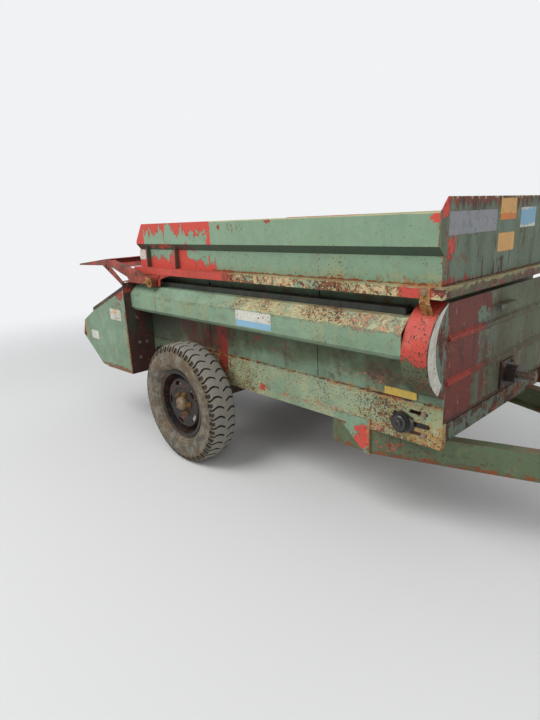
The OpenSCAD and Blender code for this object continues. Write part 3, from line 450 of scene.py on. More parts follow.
lookKeys = ("clouds", "streaks", "specks", "gloss")
zoneKeys = ("ragged", "fade", "grain", "stretch", "cover", "crisp", "rim", "power", "patchy")
edgeWear = {"samples": 4, "low": 0.80, "high": 0.985}      # between these the bent normal marks a worn edge
bumpDepth = 0.0015


def edgeMask(tree, radius):
    bevel = tree.nodes.new("ShaderNodeBevel")
    bevel.samples = edgeWear["samples"]
    bevel.inputs["Radius"].default_value = radius
    plain = tree.nodes.new("ShaderNodeNewGeometry")
    dot = tree.nodes.new("ShaderNodeVectorMath")
    dot.operation = "DOT_PRODUCT"
    tree.links.new(bevel.outputs["Normal"], dot.inputs[0])
    tree.links.new(plain.outputs["Normal"], dot.inputs[1])
    return ramp(tree, dot.outputs["Value"], edgeWear["low"], edgeWear["high"], 1.0, 0.0)


def placeGroup(tree, group, place, values):
    node = tree.nodes.new("ShaderNodeGroup")
    node.node_tree = group
    tree.links.new(place, node.inputs["Place"])
    for label, value in values.items():
        node.inputs[label].default_value = value
    return node


def paintedMaterial(name, look, zones=()):
    material, tree, shader, place = newMaterial(name)
    values = {"Paint": tones[look["paint"]], "Deep": tones[look["deep"]], "Rust": tones["rust"]}
    values.update({key.capitalize(): look[key] for key in lookKeys if key in look})
    last = placeGroup(tree, oldPaint, place, values)
    if look.get("edge", 0.0) > 0.0:
        tree.links.new(edgeMask(tree, look["edge"]), last.inputs["Edges"])
    for step in zones:
        values = {"Low": step["low"], "High": step["high"], "Tint": tones[step["tint"]],
                  "RimTint": tones["rustDark"]}
        values.update({key.capitalize(): step[key] for key in zoneKeys if key in step})
        node = placeGroup(tree, wearZone, place, values)
        for label in ("Color", "Rough", "Height"):
            tree.links.new(last.outputs[label], node.inputs[label])
        last = node
    tree.links.new(last.outputs["Color"], shader.inputs["Base Color"])
    tree.links.new(last.outputs["Rough"], shader.inputs["Roughness"])
    shader.inputs["Metallic"].default_value = look.get("metal", 0.0)
    shader.inputs["Specular IOR Level"].default_value = look.get("specular", 0.35)
    addBump(tree, shader, last.outputs["Height"], look.get("bump", 0.4), bumpDepth)
    return material


def dress(material, *names):
    for name in names:
        mesh = nodes[name].data
        mesh.materials.clear()
        mesh.materials.append(material)


# Finishes of the CAD pieces: a look for the whole sheet, then its zones from the bottom coat up; zones that
# are painted shade are marked where they stand

greenLook = {"paint": "sage", "deep": "sageDeep", "clouds": 0.55, "streaks": 0.30, "specks": 0.35,
             "gloss": 0.42, "edge": 0.004}
redLook = {"paint": "coral", "deep": "coralDeep", "clouds": 0.7, "streaks": 0.3, "specks": 0.4, "gloss": 0.48,
           "edge": 0.003}
brownLook = {"paint": "brown", "deep": "maroonDeep", "clouds": 0.6, "streaks": 0.4, "specks": 0.5,
             "gloss": 0.62, "edge": 0.003}
blackLook = {"paint": "black", "deep": "brown", "clouds": 0.5, "streaks": 0.2, "specks": 0.3, "gloss": 0.55,
             "edge": 0.002}
steelLook = {"paint": "steel", "deep": "rust", "clouds": 0.8, "streaks": 0.2, "specks": 0.5, "gloss": 0.45,
             "metal": 0.5, "edge": 0.0}

lengthwise = (0.25, 1.0, 1.0)

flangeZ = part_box("flange_frame")[1][2]
bevelZ = (flangeZ + 0.115, flangeZ + 0.153)
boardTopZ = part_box("board_right")[1][2]

boardRibs = (-2.14, -1.80)
boardZones = [
    zone("straw", 18, 0.6, z=(flangeZ - 0.02, flangeZ + 0.04), ragged=0.02, crisp=0.2, power=0.6,
         fade=(0.1, 0.1, 0.06)),
    zone("teal", 4, 0.5, x=(-0.8, far), z=(bevelZ[1], far), crisp=0.3, power=0.5),
    zone("straw", 10, 0.42, drawn=0.12, crisp=0.25, power=0.5),
    zone("coral", 30, x=(-far, -1.42), z=(bevelZ[1], far), ragged=0.006, rim=0.4),
    zone("sage", 20, 0.83, x=(-2.24, -1.47), z=(bevelZ[1] - 0.01, bevelZ[1]), ragged=0.006, drawn=0.32,
         rim=0.5, fade=(0.03, 0.1, 0.25), patchy=0.15),
    zone("sage", 40, 0.50, x=(-1.62, -1.45), z=(bevelZ[1] + 0.02, boardTopZ - 0.05), rim=0.6,
         fade=(0.03, 0.1, 0.04), patchy=0.1),
    zone("coral", 22, 0.86, x=(-far, -1.60), z=(flangeZ - 0.02, flangeZ + 0.010), ragged=0.01, rim=0.6,
         drawn=0.30, fade=(0.62, 0.1, 0.125), patchy=0.1),
    zone("coral", cover=0.9, x=(-far, -2.15), ragged=0.01, rim=0.5),
    zone("coral", 20, 0.80, x=(-1.80, -1.66), z=(flangeZ, bevelZ[0]), rim=0.6, fade=(0.14, 0.1, 0.1),
         drawn=0.30, patchy=0.1),
    zone("sage", 26, 0.72, x=(-1.70, -1.60), z=(flangeZ + 0.075, bevelZ[0] - 0.01), rim=0.7,
         fade=(0.04, 0.1, 0.05), drawn=0.30),
    zone("coralDeep", 44, 0.62, x=(-1.345, -1.315), z=(bevelZ[1] + 0.09, boardTopZ - 0.035), drawn=0.5,
         rim=0.9, fade=(0.03, 0.1, 0.04), patchy=0.0),
    zone("coralDeep", 60, 0.36, x=(-1.27, -1.12), z=(boardTopZ - 0.06, boardTopZ - 0.02), drawn=0.6,
         rim=0.9, fade=(0.03, 0.1, 0.04), patchy=0.0),
    zone("coralDeep", 44, 0.70, x=(-0.95, -0.92), z=(boardTopZ - 0.015, boardTopZ), rim=0.9,
         fade=(0.03, 0.1, 0.02), drawn=0.6, patchy=0.0),
    zone("coralDeep", 44, 0.24, x=(-1.60, -1.10), z=(flangeZ, bevelZ[0]), rim=0.9, crisp=0.03, patchy=0.1),
    zone("rust", 30, 0.16, x=(-1.40, -0.6), z=(flangeZ + 0.03, far), rim=0.9, crisp=0.05),
    zone("rust", 44, 0.85, x=(-1.45, -0.03), z=(flangeZ - 0.02, flangeZ + 0.002), ragged=0.006, rim=0.5,
         fade=(0.05, 0.1, 0.018), crisp=0.06),
    zone("rust", 70, 0.36, x=(-1.45, -0.03), z=(flangeZ, flangeZ + 0.02), crisp=0.04,
         fade=(0.05, 0.1, 0.06)),
    zone("ochre", 50, 0.5, x=(-0.30, 0.0), z=(flangeZ, flangeZ + 0.02), rim=0.8, fade=(0.2, 0.1, 0.06)),
    zone("rustDark", 110, 0.25, x=(-far, -0.01), crisp=0.03),
    zone("rust", 60, 0.70, x=(-0.006, far), ragged=0.004, drawn=0.3, crisp=0.05, fade=(0.012, 0.1, 0.1),
         patchy=0.1),
    zone("ochre", 70, 0.42, x=(-0.010, far), drawn=0.3, crisp=0.05, fade=(0.010, 0.1, 0.1)),
    zone("coral", 40, 0.62, x=(-0.030, far), z=(boardTopZ - 0.04, far), rim=0.6, fade=(0.02, 0.1, 0.05)),
    # painted shade: the downward-facing bevel between the board's two panels is painted dark green to stand
    # in for the shade under it
    zone("darkGreen", z=(bevelZ[0] + 0.001, bevelZ[1] - 0.001), fade=(0.001, 0.001, 0.001), ragged=0.0,
         power=0.85),
    zone("coral", 24, 0.50, x=(-2.10, -1.84), z=(bevelZ[0] + 0.012, bevelZ[1] - 0.001), rim=0.5,
         fade=(0.05, 0.1, 0.02)),
    zone("cream", z=(boardTopZ - 0.003, far), x=(-1.42, far), ragged=0.001, power=0.7),
]
# painted shade: dark green strips at the ribs under the bevel stand in for the overhang's shadow, with sage
# specks laid over them
for x in boardRibs:
    for low, high in ((-far, -0.6725), (0.6725, far)):
        boardZones.append(zone("darkGreen", x=(x - 0.03, x + 0.03), y=(low, high),
                               z=(flangeZ, bevelZ[0] + 0.002), fade=(0.001, 0.001, 0.001), ragged=0.0,
                               power=0.9))
        boardZones.append(zone("sageDim", 40, 0.42, x=(x - 0.03, x + 0.03), y=(low, high),
                               z=(flangeZ, bevelZ[0] + 0.002), crisp=0.15, power=0.7, ragged=0.0,
                               fade=(0.001, 0.001, 0.001)))
dress(paintedMaterial("boardSheet", greenLook, boardZones), "board_right", "board_left")

headZones = [
    zone("greyGreen", ragged=0.0, power=0.9),
    zone("teal", 4, 0.62, z=(flangeZ + 0.05, boardTopZ - 0.02), crisp=0.3, power=0.55),
    zone("moss", 7, 0.85, crisp=0.35, power=0.65, drawn=0.2),
    zone("darkGreen", 14, 0.52, crisp=0.3, power=0.65, drawn=0.2),
    zone("straw", 12, 0.5, y=(-0.30, far), crisp=0.3, power=0.5, drawn=0.2),
    zone("maroonDeep", 40, 0.62, z=(boardTopZ + 0.048, far), drawn=0.09, rim=0.7, fade=(0.1, 0.1, 0.20),
         crisp=0.04),
    zone("rust", 56, 0.46, z=(boardTopZ + 0.03, far), y=(-0.62, 0.4), drawn=0.14, rim=0.6,
         fade=(0.1, 0.1, 0.10)),
    zone("maroon", 30, 0.46, z=(boardTopZ + 0.04, far), y=(-far, -0.2), drawn=0.10, rim=0.5,
         fade=(0.1, 0.1, 0.12)),
    zone("cream", 34, 0.55, z=(boardTopZ + 0.049, far), drawn=0.2, power=0.6),
    zone("coral", 44, 0.72, y=(-far, -0.665), z=(boardTopZ - 0.01, far), ragged=0.004, drawn=0.3, rim=0.8,
         fade=(0.1, 0.06, 0.10)),
    zone("coralDeep", 44, 0.50, y=(-far, -0.60), z=(boardTopZ + 0.035, far), drawn=0.3, rim=0.8,
         fade=(0.1, 0.10, 0.05)),
    zone("coral", 44, 0.62, y=(-0.645, -0.60), z=(flangeZ + 0.11, flangeZ + 0.17), drawn=0.4, rim=0.8,
         fade=(0.1, 0.03, 0.07)),
    zone("coralDeep", 60, 0.38, y=(-0.69, -0.50), z=(flangeZ + 0.05, boardTopZ), drawn=0.35, rim=0.7,
         fade=(0.1, 0.06, 0.04)),
    zone("rustDark", 36, 0.33, z=(flangeZ, boardTopZ), drawn=0.10, crisp=0.03, patchy=0.35),
    zone("black", 30, 0.26, y=(-0.50, -0.20), z=(flangeZ, boardTopZ - 0.08), drawn=0.08, crisp=0.03,
         power=0.8),
    zone("coralDeep", 54, 0.62, y=(-far, -0.45), z=(flangeZ, flangeZ + 0.01), ragged=0.01, drawn=0.2,
         rim=0.6, fade=(0.1, 0.25, 0.09)),
    zone("rustDark", 50, 0.52, y=(-0.20, -0.13), z=(flangeZ, flangeZ + 0.07), drawn=0.35, rim=0.8,
         fade=(0.1, 0.08, 0.10)),
    zone("rustDark", 80, 0.29, crisp=0.03, patchy=0.4),
    zone("rustDark", 40, 0.8, z=(flangeZ - 0.01, flangeZ + 0.006), ragged=0.006),
]
dress(paintedMaterial("headSheet", greenLook, headZones), "head_board")

flangeZones = [
    zone("cream", 14, 1.1, x=(-1.18, -0.20), ragged=0.02, rim=0.4, power=0.8, fade=(0.06, 0.1, 0.1)),
    zone("sage", 20, 0.55, x=(-1.12, -0.20), crisp=0.08, fade=(0.08, 0.1, 0.1)),
    zone("straw", 34, 0.55, x=(-1.15, -0.16), crisp=0.10, power=0.7),
    zone("ochre", 24, 0.45, x=(-1.25, -0.16), crisp=0.12, power=0.7),
    zone("rust", 38, 0.47, x=(-1.30, -0.16), rim=0.8, crisp=0.05, fade=(0.1, 0.1, 0.1)),
    zone("rustDark", 62, 0.40, x=(-1.30, -0.12), crisp=0.03),
    zone("maroonDeep", 14, 0.70, x=(-0.02, far), ragged=0.004, power=0.9, crisp=0.1),
    zone("moss", 17, 0.62, x=(0.02, far), y=(-0.66, 0.66), rim=0.5, power=0.8, crisp=0.1),
    zone("straw", 30, 0.75, x=(0.02, far), y=(-0.70, 0.70), z=(flangeZ - 0.012, far), power=0.7,
         crisp=0.15),
    zone("cream", 60, 0.6, x=(-0.02, far), y=(-far, -0.70), z=(-far, flangeZ - 0.026), rim=0.5, power=0.8),
    zone("straw", 34, 0.72, x=(-1.25, far), z=(flangeZ - 0.003, far), ragged=0.0, power=0.8, crisp=0.15),
    zone("rust", 50, 0.45, z=(flangeZ - 0.004, far), ragged=0.0, crisp=0.08, power=0.8),
    zone("ochre", 54, 0.42, x=(-0.32, -0.14), crisp=0.08, power=0.8, fade=(0.05, 0.1, 0.1)),
    zone("rustDark", 100, 0.30, crisp=0.03),
]
dress(paintedMaterial("flangeIron", dict(redLook, specks=0.5), flangeZones), "flange_frame")

wallZones = [
    zone("moss", 6, 1.0, y=(-far, 0.7), crisp=0.4, power=0.85, drawn=0.30),
    zone("brown", 9, 0.75, y=(-far, 0.7), crisp=0.4, power=0.65, drawn=0.30),
    zone("straw", 13, 0.48, y=(-far, 0.7), crisp=0.3, power=0.45, drawn=0.30),
    zone("maroon", 9, 1.05, y=(-far, -0.44), z=(-far, 0.90), ragged=0.020, rim=0.5,
         fade=(0.1, 0.10, 0.14)),
    zone("maroon", 9, 1.05, y=(-far, -0.38), z=(0.86, far), ragged=0.025, rim=0.5, fade=(0.1, 0.10, 0.1)),
    zone("maroon", 9, 1.0, y=(-far, -0.27), z=(1.06, far), ragged=0.02, rim=0.5, fade=(0.1, 0.09, 0.06)),
    zone("maroonDeep", 14, 0.50, y=(-far, -0.10), crisp=0.12, drawn=0.30, power=0.7, fade=(0.1, 0.3, 0.1)),
    zone("coralDeep", 24, 0.95, y=(-far, -0.36), z=(0.803, 0.835), ragged=0.005, rim=0.5,
         fade=(0.1, 0.16, 0.004)),
    zone("coralDeep", 24, 0.95, y=(-far, -0.40), z=(0.991, 1.023), ragged=0.005, rim=0.5,
         fade=(0.1, 0.18, 0.004)),
    zone("sageDim", 20, 0.80, y=(-0.34, -0.27), z=(1.045, 1.075), rim=0.6, fade=(0.1, 0.08, 0.045),
         patchy=0.0),
    zone("maroonDeep", 12, 0.45, y=(-far, -0.2), crisp=0.3, power=0.6),
    zone("ochre", 50, 0.42, y=(-0.50, -0.10), z=(0.975, 1.0), power=0.7, crisp=0.08),
    zone("brown", 16, 0.80, y=(-0.40, 0.5), z=(0.803, 0.835), crisp=0.2, power=0.6, fade=(0.1, 0.1, 0.02)),
    zone("brown", 16, 0.70, y=(-0.40, 0.5), z=(0.991, 1.023), crisp=0.2, power=0.6, fade=(0.1, 0.1, 0.02)),
    zone("maroon", 30, 0.45, y=(-0.45, -0.20), z=(0.62, 0.80), drawn=0.15, crisp=0.05,
         fade=(0.1, 0.1, 0.1)),
    zone("rust", 20, 0.32, crisp=0.12, power=0.6, patchy=0.5),
    zone("pink", 70, 0.30, y=(-far, -0.2), drawn=0.3, crisp=0.04, power=0.6),
    zone("rustDark", 34, 0.30, drawn=0.16, crisp=0.03),
    zone("rustDark", 90, 0.33, crisp=0.03, patchy=0.4),
    zone("rustDark", 30, 0.9, z=(0.62, 0.640), ragged=0.01, fade=(0.1, 0.1, 0.03)),
]
dress(paintedMaterial("frontSheet", dict(greenLook, paint="greyGreen", deep="moss", clouds=0.8, specks=0.5),
                      wallZones), "front_wall")

sideZones = [
    zone("sageDim", 4, 0.85, z=(0.70, 1.0), crisp=0.4, power=0.75),
    zone("moss", 12, 0.55, z=(0.70, far), x=(-far, -0.1), crisp=0.25, power=0.6, drawn=0.30),
    # darker toward the cover: moss over the upper sheet, partly dirt and partly painted shade under the shaft
    # cover
    zone("moss", 6, 1.1, z=(0.80, far), power=0.9, crisp=0.4, fade=(0.1, 0.1, 0.10)),
    zone("brown", 6, 1.0, z=(0.70, far), x=(-far, -1.50), crisp=0.45, power=0.72, fade=(0.4, 0.1, 0.1)),
    zone("cream", 7, 0.80, z=(0.50, 0.70), crisp=0.4, power=0.50, fade=(0.1, 0.1, 0.05)),
    zone("straw", 11, 0.60, z=(0.50, 0.70), ragged=0.02, crisp=0.3, power=0.6, fade=(0.1, 0.1, 0.05)),
    zone("straw", 8, 0.42, z=(0.70, far), crisp=0.25, power=0.45),
    zone("maroon", 26, 0.55, x=(-1.84, -1.54), z=(0.74, 0.90), crisp=0.08, power=0.8,
         fade=(0.14, 0.1, 0.10), rim=0.4),
    zone("coralDeep", 24, 0.86, x=(-1.523, -1.440), z=(0.66, 0.88), ragged=0.008, rim=0.5,
         fade=(0.02, 0.1, 0.20), patchy=0.0),
    zone("coralDeep", 20, 0.40, x=(-1.20, -0.60), z=(0.80, 0.86), crisp=0.08, power=0.75,
         fade=(0.1, 0.1, 0.06), drawn=0.5),
    zone("pink", 50, 0.42, x=(-0.62, -0.30), z=(0.755, 0.80), ragged=0.02, crisp=0.05, power=0.7),
    zone("coral", 40, 0.90, x=(-1.135, -1.115), z=(0.555, 0.57), rim=0.6, fade=(0.03, 0.1, 0.045)),
    zone("coral", 54, 0.50, x=(-1.00, -0.45), z=(0.545, 0.570), crisp=0.06, power=0.8,
         fade=(0.06, 0.1, 0.03), rim=0.3),
    zone("coral", 44, 0.62, x=(-0.40, -0.28), z=(0.53, 0.55), crisp=0.12, power=0.7,
         fade=(0.06, 0.1, 0.03)),
    zone("straw", 26, 0.80, x=(-0.26, 0.0), z=(0.50, 0.69), crisp=0.25, power=0.75,
         fade=(0.25, 0.1, 0.05)),
    zone("ochre", 40, 0.70, x=(-0.16, 0.0), z=(0.50, 0.60), crisp=0.15, power=0.8, fade=(0.14, 0.1, 0.12)),
    zone("rust", 54, 0.55, x=(-0.20, 0.0), z=(0.50, 0.52), crisp=0.08, power=0.8, fade=(0.14, 0.1, 0.08)),
    zone("ochre", 30, 0.42, z=(0.50, 0.700), crisp=0.15, power=0.6, patchy=0.4),
    zone("brown", 16, 0.34, z=(0.50, 0.700), crisp=0.15, power=0.55, patchy=0.5),
    zone("rustDark", 110, 0.415, z=(0.50, 0.706), crisp=0.03, power=0.85, patchy=0.3),
    zone("rustDark", 62, 0.32, z=(0.50, 0.700), crisp=0.03, power=0.9, patchy=0.4),
    zone("rust", 46, 0.30, z=(0.50, 0.690), crisp=0.04, rim=0.5, patchy=0.5),
    zone("maroon", 16, 0.42, x=(-far, -1.86), z=(0.60, far), drawn=0.2, crisp=0.10, power=0.8),
    zone("rust", 90, 0.31, z=(0.70, far), crisp=0.03, power=0.8, patchy=0.4),
    zone("brown", 14, 0.52, z=(0.70, far), crisp=0.2, power=0.7, patchy=0.4),
    # darker maroon strip just under the shaft cover, partly dirt and partly painted shade of the cover
    zone("maroonDeep", 20, 0.48, z=(0.90, far), crisp=0.1, power=0.8, fade=(0.1, 0.1, 0.1)),
    zone("ochre", 30, 0.55, z=(0.695, 0.714), x=(-far, 0.0), crisp=0.10, power=0.7, fade=(0.1, 0.1, 0.012),
         patchy=0.4),
    zone("rust", 46, 0.50, z=(0.700, 0.714), x=(-far, 0.0), stretch=(0.6, 1, 1), crisp=0.06,
         fade=(0.1, 0.1, 0.008), patchy=0.4),
    zone("rustDark", 40, 0.55, z=(0.705, 0.711), x=(-far, 0.0), ragged=0.002, stretch=(0.6, 1, 1),
         crisp=0.05, fade=(0.1, 0.1, 0.004), patchy=0.4),
    zone("darkGreen", 7, 1.0, x=(-far, -2.05), z=(0.50, 0.95), ragged=0.03, crisp=0.2, fade=(0.3, 0.1, 0.1),
         power=0.6),
]
dress(paintedMaterial("sideSheet", dict(greenLook, specks=0.45, streaks=0.4), sideZones), "side_right",
      "side_left")

coverZones = [
    zone("straw", 18, 0.55, z=(0.94, 1.05), drawn=0.08, crisp=0.25, power=0.6),
    zone("teal", 3, 0.50, z=(0.93, 1.05), crisp=0.3, power=0.4),
    zone("moss", 9, 0.72, x=(-2.2, -0.6), z=(1.035, far), crisp=0.3, power=0.5, fade=(0.3, 0.1, 0.02)),
    zone("sageDim", 10, 0.62, z=(-far, 0.99), crisp=0.3, power=0.5, fade=(0.1, 0.1, 0.05)),
    zone("cream", 13, 0.84, x=(-1.05, -0.12), z=(1.050, far), ragged=0.003, crisp=0.30, power=0.7,
         fade=(0.7, 0.1, 0.02)),
    zone("straw", 20, 0.55, x=(-1.3, -0.12), z=(1.044, far), crisp=0.2, power=0.6, fade=(0.8, 0.1, 0.02)),
    zone("sage", 24, 0.45, x=(-1.7, -0.12), z=(1.04, far), crisp=0.12, power=0.8),
    zone("ochre", 60, 0.53, x=(-1.10, -0.12), z=(1.048, far), crisp=0.12, power=0.62,
         fade=(0.8, 0.1, 0.02)),
    zone("rust", 110, 0.42, x=(-1.05, -0.12), z=(1.050, far), crisp=0.06, patchy=0.4, power=0.8,
         fade=(0.8, 0.1, 0.02)),
    zone("brown", 12, 0.55, x=(-1.2, -0.12), z=(1.060, far), crisp=0.35, power=0.4),
    zone("rustDark", 90, 0.36, x=(-1.2, -0.12), z=(1.045, far), crisp=0.03, patchy=0.4),
    zone("pink", 40, 0.52, x=(-0.36, -0.12), z=(1.04, far), crisp=0.12, rim=0.6, power=0.7,
         fade=(0.2, 0.1, 0.04)),
    zone("rust", 70, 0.38, x=(-0.30, -0.12), z=(1.03, far), crisp=0.05, fade=(0.2, 0.1, 0.05)),
    zone("rust", 40, 0.75, x=(-1.985, -1.978), z=(0.92, 1.06), ragged=0.002, crisp=0.10, power=0.8),
    zone("ochre", 60, 0.45, x=(-1.995, -1.968), z=(0.92, 1.06), crisp=0.10, power=0.6),
    zone("rustDark", 110, 0.26, crisp=0.03),
    # painted shade: the cover's downward-facing lower lip is painted dark green
    zone("darkGreen", z=(0.90, 0.928), ragged=0.0, power=0.7),
]
dress(paintedMaterial("coverSheet", greenLook, coverZones), "shaft_cover")

guardZones = [
    zone("pink", 10, 0.55, z=(0.99, far), crisp=0.25, power=0.55),
    zone("coralDeep", 14, 0.45, crisp=0.2, power=0.6),
    zone("rust", 40, 0.62, z=(0.87, 0.91), rim=0.4, fade=(0.1, 0.1, 0.08), crisp=0.10),
    zone("ochre", 60, 0.45, z=(0.87, 0.90), fade=(0.1, 0.1, 0.05), crisp=0.10, power=0.8),
    zone("moss", 16, 1.1, z=(-far, 0.860), ragged=0.012, rim=0.7, fade=(0.1, 0.1, 0.10)),
    zone("darkGreen", 9, 0.8, z=(-far, 0.84), crisp=0.3, power=0.6, fade=(0.1, 0.1, 0.05)),
    zone("rust", 26, 0.40, z=(-far, 0.87), crisp=0.06, power=0.8),
    zone("rustDark", 100, 0.33, crisp=0.03, patchy=0.5),
    zone("rustDark", 50, 0.20, crisp=0.03, patchy=0.5),
    zone("maroon", x=(-0.0028, far), fade=(0.0005, 0.1, 0.1), ragged=0.0, power=0.95),
    zone("maroonDeep", 30, 0.55, x=(-0.0028, far), fade=(0.0005, 0.1, 0.1), ragged=0.0, crisp=0.1),
    zone("greyGreen", 26, 0.47, x=(-0.0028, far), fade=(0.0005, 0.1, 0.1), ragged=0.0, drawn=0.30,
         crisp=0.06),
]
dress(paintedMaterial("guardSheet", redLook, guardZones), "chain_guard")

drawZones = [
    zone("moss", 8, 0.55, crisp=0.25, power=0.7, drawn=0.30),
    zone("straw", 12, 0.42, crisp=0.3, power=0.5),
    zone("rust", 22, 0.60, z=(0.5075, far), crisp=0.2, power=0.7),
    zone("brown", 12, 0.60, z=(0.5075, far), crisp=0.25, power=0.6),
    zone("steel", 30, 0.62, x=(0.92, far), crisp=0.2, power=0.8, fade=(0.05, 0.1, 0.1)),
    zone("rust", 22, 0.50, z=(-far, 0.405), ragged=0.02, crisp=0.1, rim=0.4),
    zone("coral", 60, 0.40, x=(-0.34, -0.22), z=(0.42, 0.46), rim=0.3, power=0.7, fade=(0.05, 0.1, 0.04)),
    zone("rust", 34, 0.27, crisp=0.06, rim=0.5, patchy=0.5),
    zone("rustDark", 80, 0.30, crisp=0.04),
]
dress(paintedMaterial("drawIron", dict(greenLook, paint="drawGreen", deep="moss", clouds=0.7, specks=0.5),
                      drawZones), "drawbar", "stand_ears")

gussetZones = [
    zone("straw", 9, 0.5, crisp=0.25, power=0.6),
    zone("coral", 44, 0.78, x=(-0.430, -0.380), z=(0.425, 0.50), rim=0.7, fade=(0.08, 0.1, 0.09),
         patchy=0.0),
    zone("ochre", 40, 0.62, x=(-0.375, far), crisp=0.1, power=0.8, fade=(0.01, 0.1, 0.1)),
    zone("rust", 30, 0.42, z=(-far, 0.42), ragged=0.02, rim=0.5),
    zone("rustDark", 90, 0.33, crisp=0.03),
]
dress(paintedMaterial("gussetSheet", dict(greenLook, specks=0.6), gussetZones), "gussets")

tailZones = [
    zone("sageDim", 5, 0.75, crisp=0.4, power=0.6),
    zone("teal", 4, 0.5, crisp=0.4, power=0.5),
    zone("straw", 14, 0.45, crisp=0.25, power=0.5, drawn=0.15),
    zone("rustDark", 80, 0.25, crisp=0.03, patchy=0.4),
    zone("ochre", 30, 0.62, x=(-far, -2.99), crisp=0.12, power=0.7, fade=(0.06, 0.1, 0.1)),
    zone("rust", 34, 0.66, x=(-far, -3.02), rim=0.5, crisp=0.08, fade=(0.05, 0.1, 0.1)),
    zone("rust", 40, 0.62, z=(-far, 0.485), rim=0.5, crisp=0.08, fade=(0.1, 0.1, 0.03)),
    zone("straw", 22, 0.62, x=(-2.36, far), z=(-far, 0.78), drawn=0.30, crisp=0.2, power=0.7,
         fade=(0.06, 0.1, 0.2)),
    zone("rust", 50, 0.60, x=(-2.320, far), z=(-far, 0.92), crisp=0.08, fade=(0.03, 0.1, 0.1)),
    zone("coralDeep", 34, 0.66, x=(-2.43, -2.33), z=(1.02, far), rim=0.7, fade=(0.05, 0.1, 0.10),
         patchy=0.0),
    zone("coralDeep", 50, 0.45, x=(-2.43, -2.36), z=(0.92, 0.98), rim=0.7, fade=(0.05, 0.1, 0.06)),
    zone("rust", 60, 0.36, x=(-2.70, -2.33), z=(0.95, far), crisp=0.04, fade=(0.1, 0.1, 0.06)),
]
dress(paintedMaterial("tailSheet", dict(greenLook, clouds=0.75, specks=0.5), tailZones), "tail_plates")

postZones = [
    zone("darkGreen", 7, 0.50, crisp=0.2, drawn=0.30, power=0.8),
    zone("coralDeep", 20, 0.45, z=(1.05, far), ragged=0.02, rim=0.5, power=0.8),
]
dress(paintedMaterial("postIron", dict(brownLook, paint="maroonDeep", deep="black", clouds=0.9), postZones),
      "rear_posts")

hoodZones = [
    zone("maroon", 8, 0.85, crisp=0.3, power=0.6),
    zone("pink", 16, 0.42, crisp=0.15, power=0.5),
    zone("sageDim", 18, 0.34, ragged=0.02, rim=0.7, crisp=0.03),
    zone("brown", 10, 0.72, crisp=0.3, power=0.7),
    zone("rust", 30, 0.45, z=(-far, 1.20), rim=0.6, crisp=0.05),
    zone("rustDark", 10, 0.62, y=(-0.765, 0.765), crisp=0.2, power=0.7),
    zone("rustDark", 70, 0.32, crisp=0.04, patchy=0.4),
    zone("ochre", 40, 0.8, x=(-2.062, -1.985), z=(1.095, 1.172), y=(-far, -0.7745),
         fade=(0.001, 0.001, 0.001), ragged=0.0, power=0.8),
]
dress(paintedMaterial("hoodIron", redLook, hoodZones), "hood")

innerZones = [
    zone("rust", 5, 0.55, crisp=0.25, power=0.8),
    zone("rustDark", 9, 0.8, z=(-far, 0.95), ragged=0.05, crisp=0.2, power=0.9, fade=(0.1, 0.1, 0.1)),
    zone("steel", 14, 0.45, z=(-far, 0.80), crisp=0.2, stretch=lengthwise, power=0.8),
]
dress(paintedMaterial("innerSheet", dict(greenLook, deep="moss", specks=0.6), innerZones), "hopper_right",
      "hopper_left", "hopper_front")

dress(paintedMaterial("chassisIron", brownLook, [
    zone("moss", 9, 0.42, crisp=0.2, power=0.8),
    zone("greyGreen", 16, 0.95, x=(-0.0315, far), y=(-0.54, 0.54), ragged=0.012, crisp=0.1,
         fade=(0.0005, 0.06, 0.1)),
    zone("straw", 30, 0.42, x=(-0.0315, far), crisp=0.2, power=0.6, fade=(0.0005, 0.1, 0.1)),
    zone("rust", 26, 0.42, x=(-0.1, far), crisp=0.06, rim=0.5)]),
      "chassis", "spinner_carrier")
dress(paintedMaterial("hingeIron", redLook, [zone("rustDark", 22, 0.45, crisp=0.1, rim=0.4)]),
      "hood_hinges")
# painted shade: the wall ribs in the gap under the flange are painted dark green and black so that gap reads
# dark
dress(paintedMaterial("ribIron", dict(brownLook, paint="darkGreen", deep="black")), "wall_ribs")
dress(paintedMaterial("railIron", dict(blackLook, paint="slate", deep="black", specks=0.4, clouds=0.9)),
      "side_rails")
dress(paintedMaterial("blackSheet", dict(blackLook, gloss=0.6), [
    zone("mud", 9, 0.62, x=(-far, -2.60), crisp=0.3, power=0.6, fade=(0.25, 0.1, 0.1)),
    zone("rust", 26, 0.34, crisp=0.1, power=0.7),
    zone("mud", 70, 0.36, crisp=0.05, power=0.7, patchy=0.5)]), "deflector")
dress(paintedMaterial("axleIron", dict(blackLook, deep="mud", clouds=0.8)), "axle", "stand_leg")
dress(paintedMaterial("gearIron", dict(blackLook, gloss=0.38),
                      [zone("rust", 14, 0.35, crisp=0.1)]),
      "beater_drive", "spinner_drive", "feed_gearbox", "input_bearing")
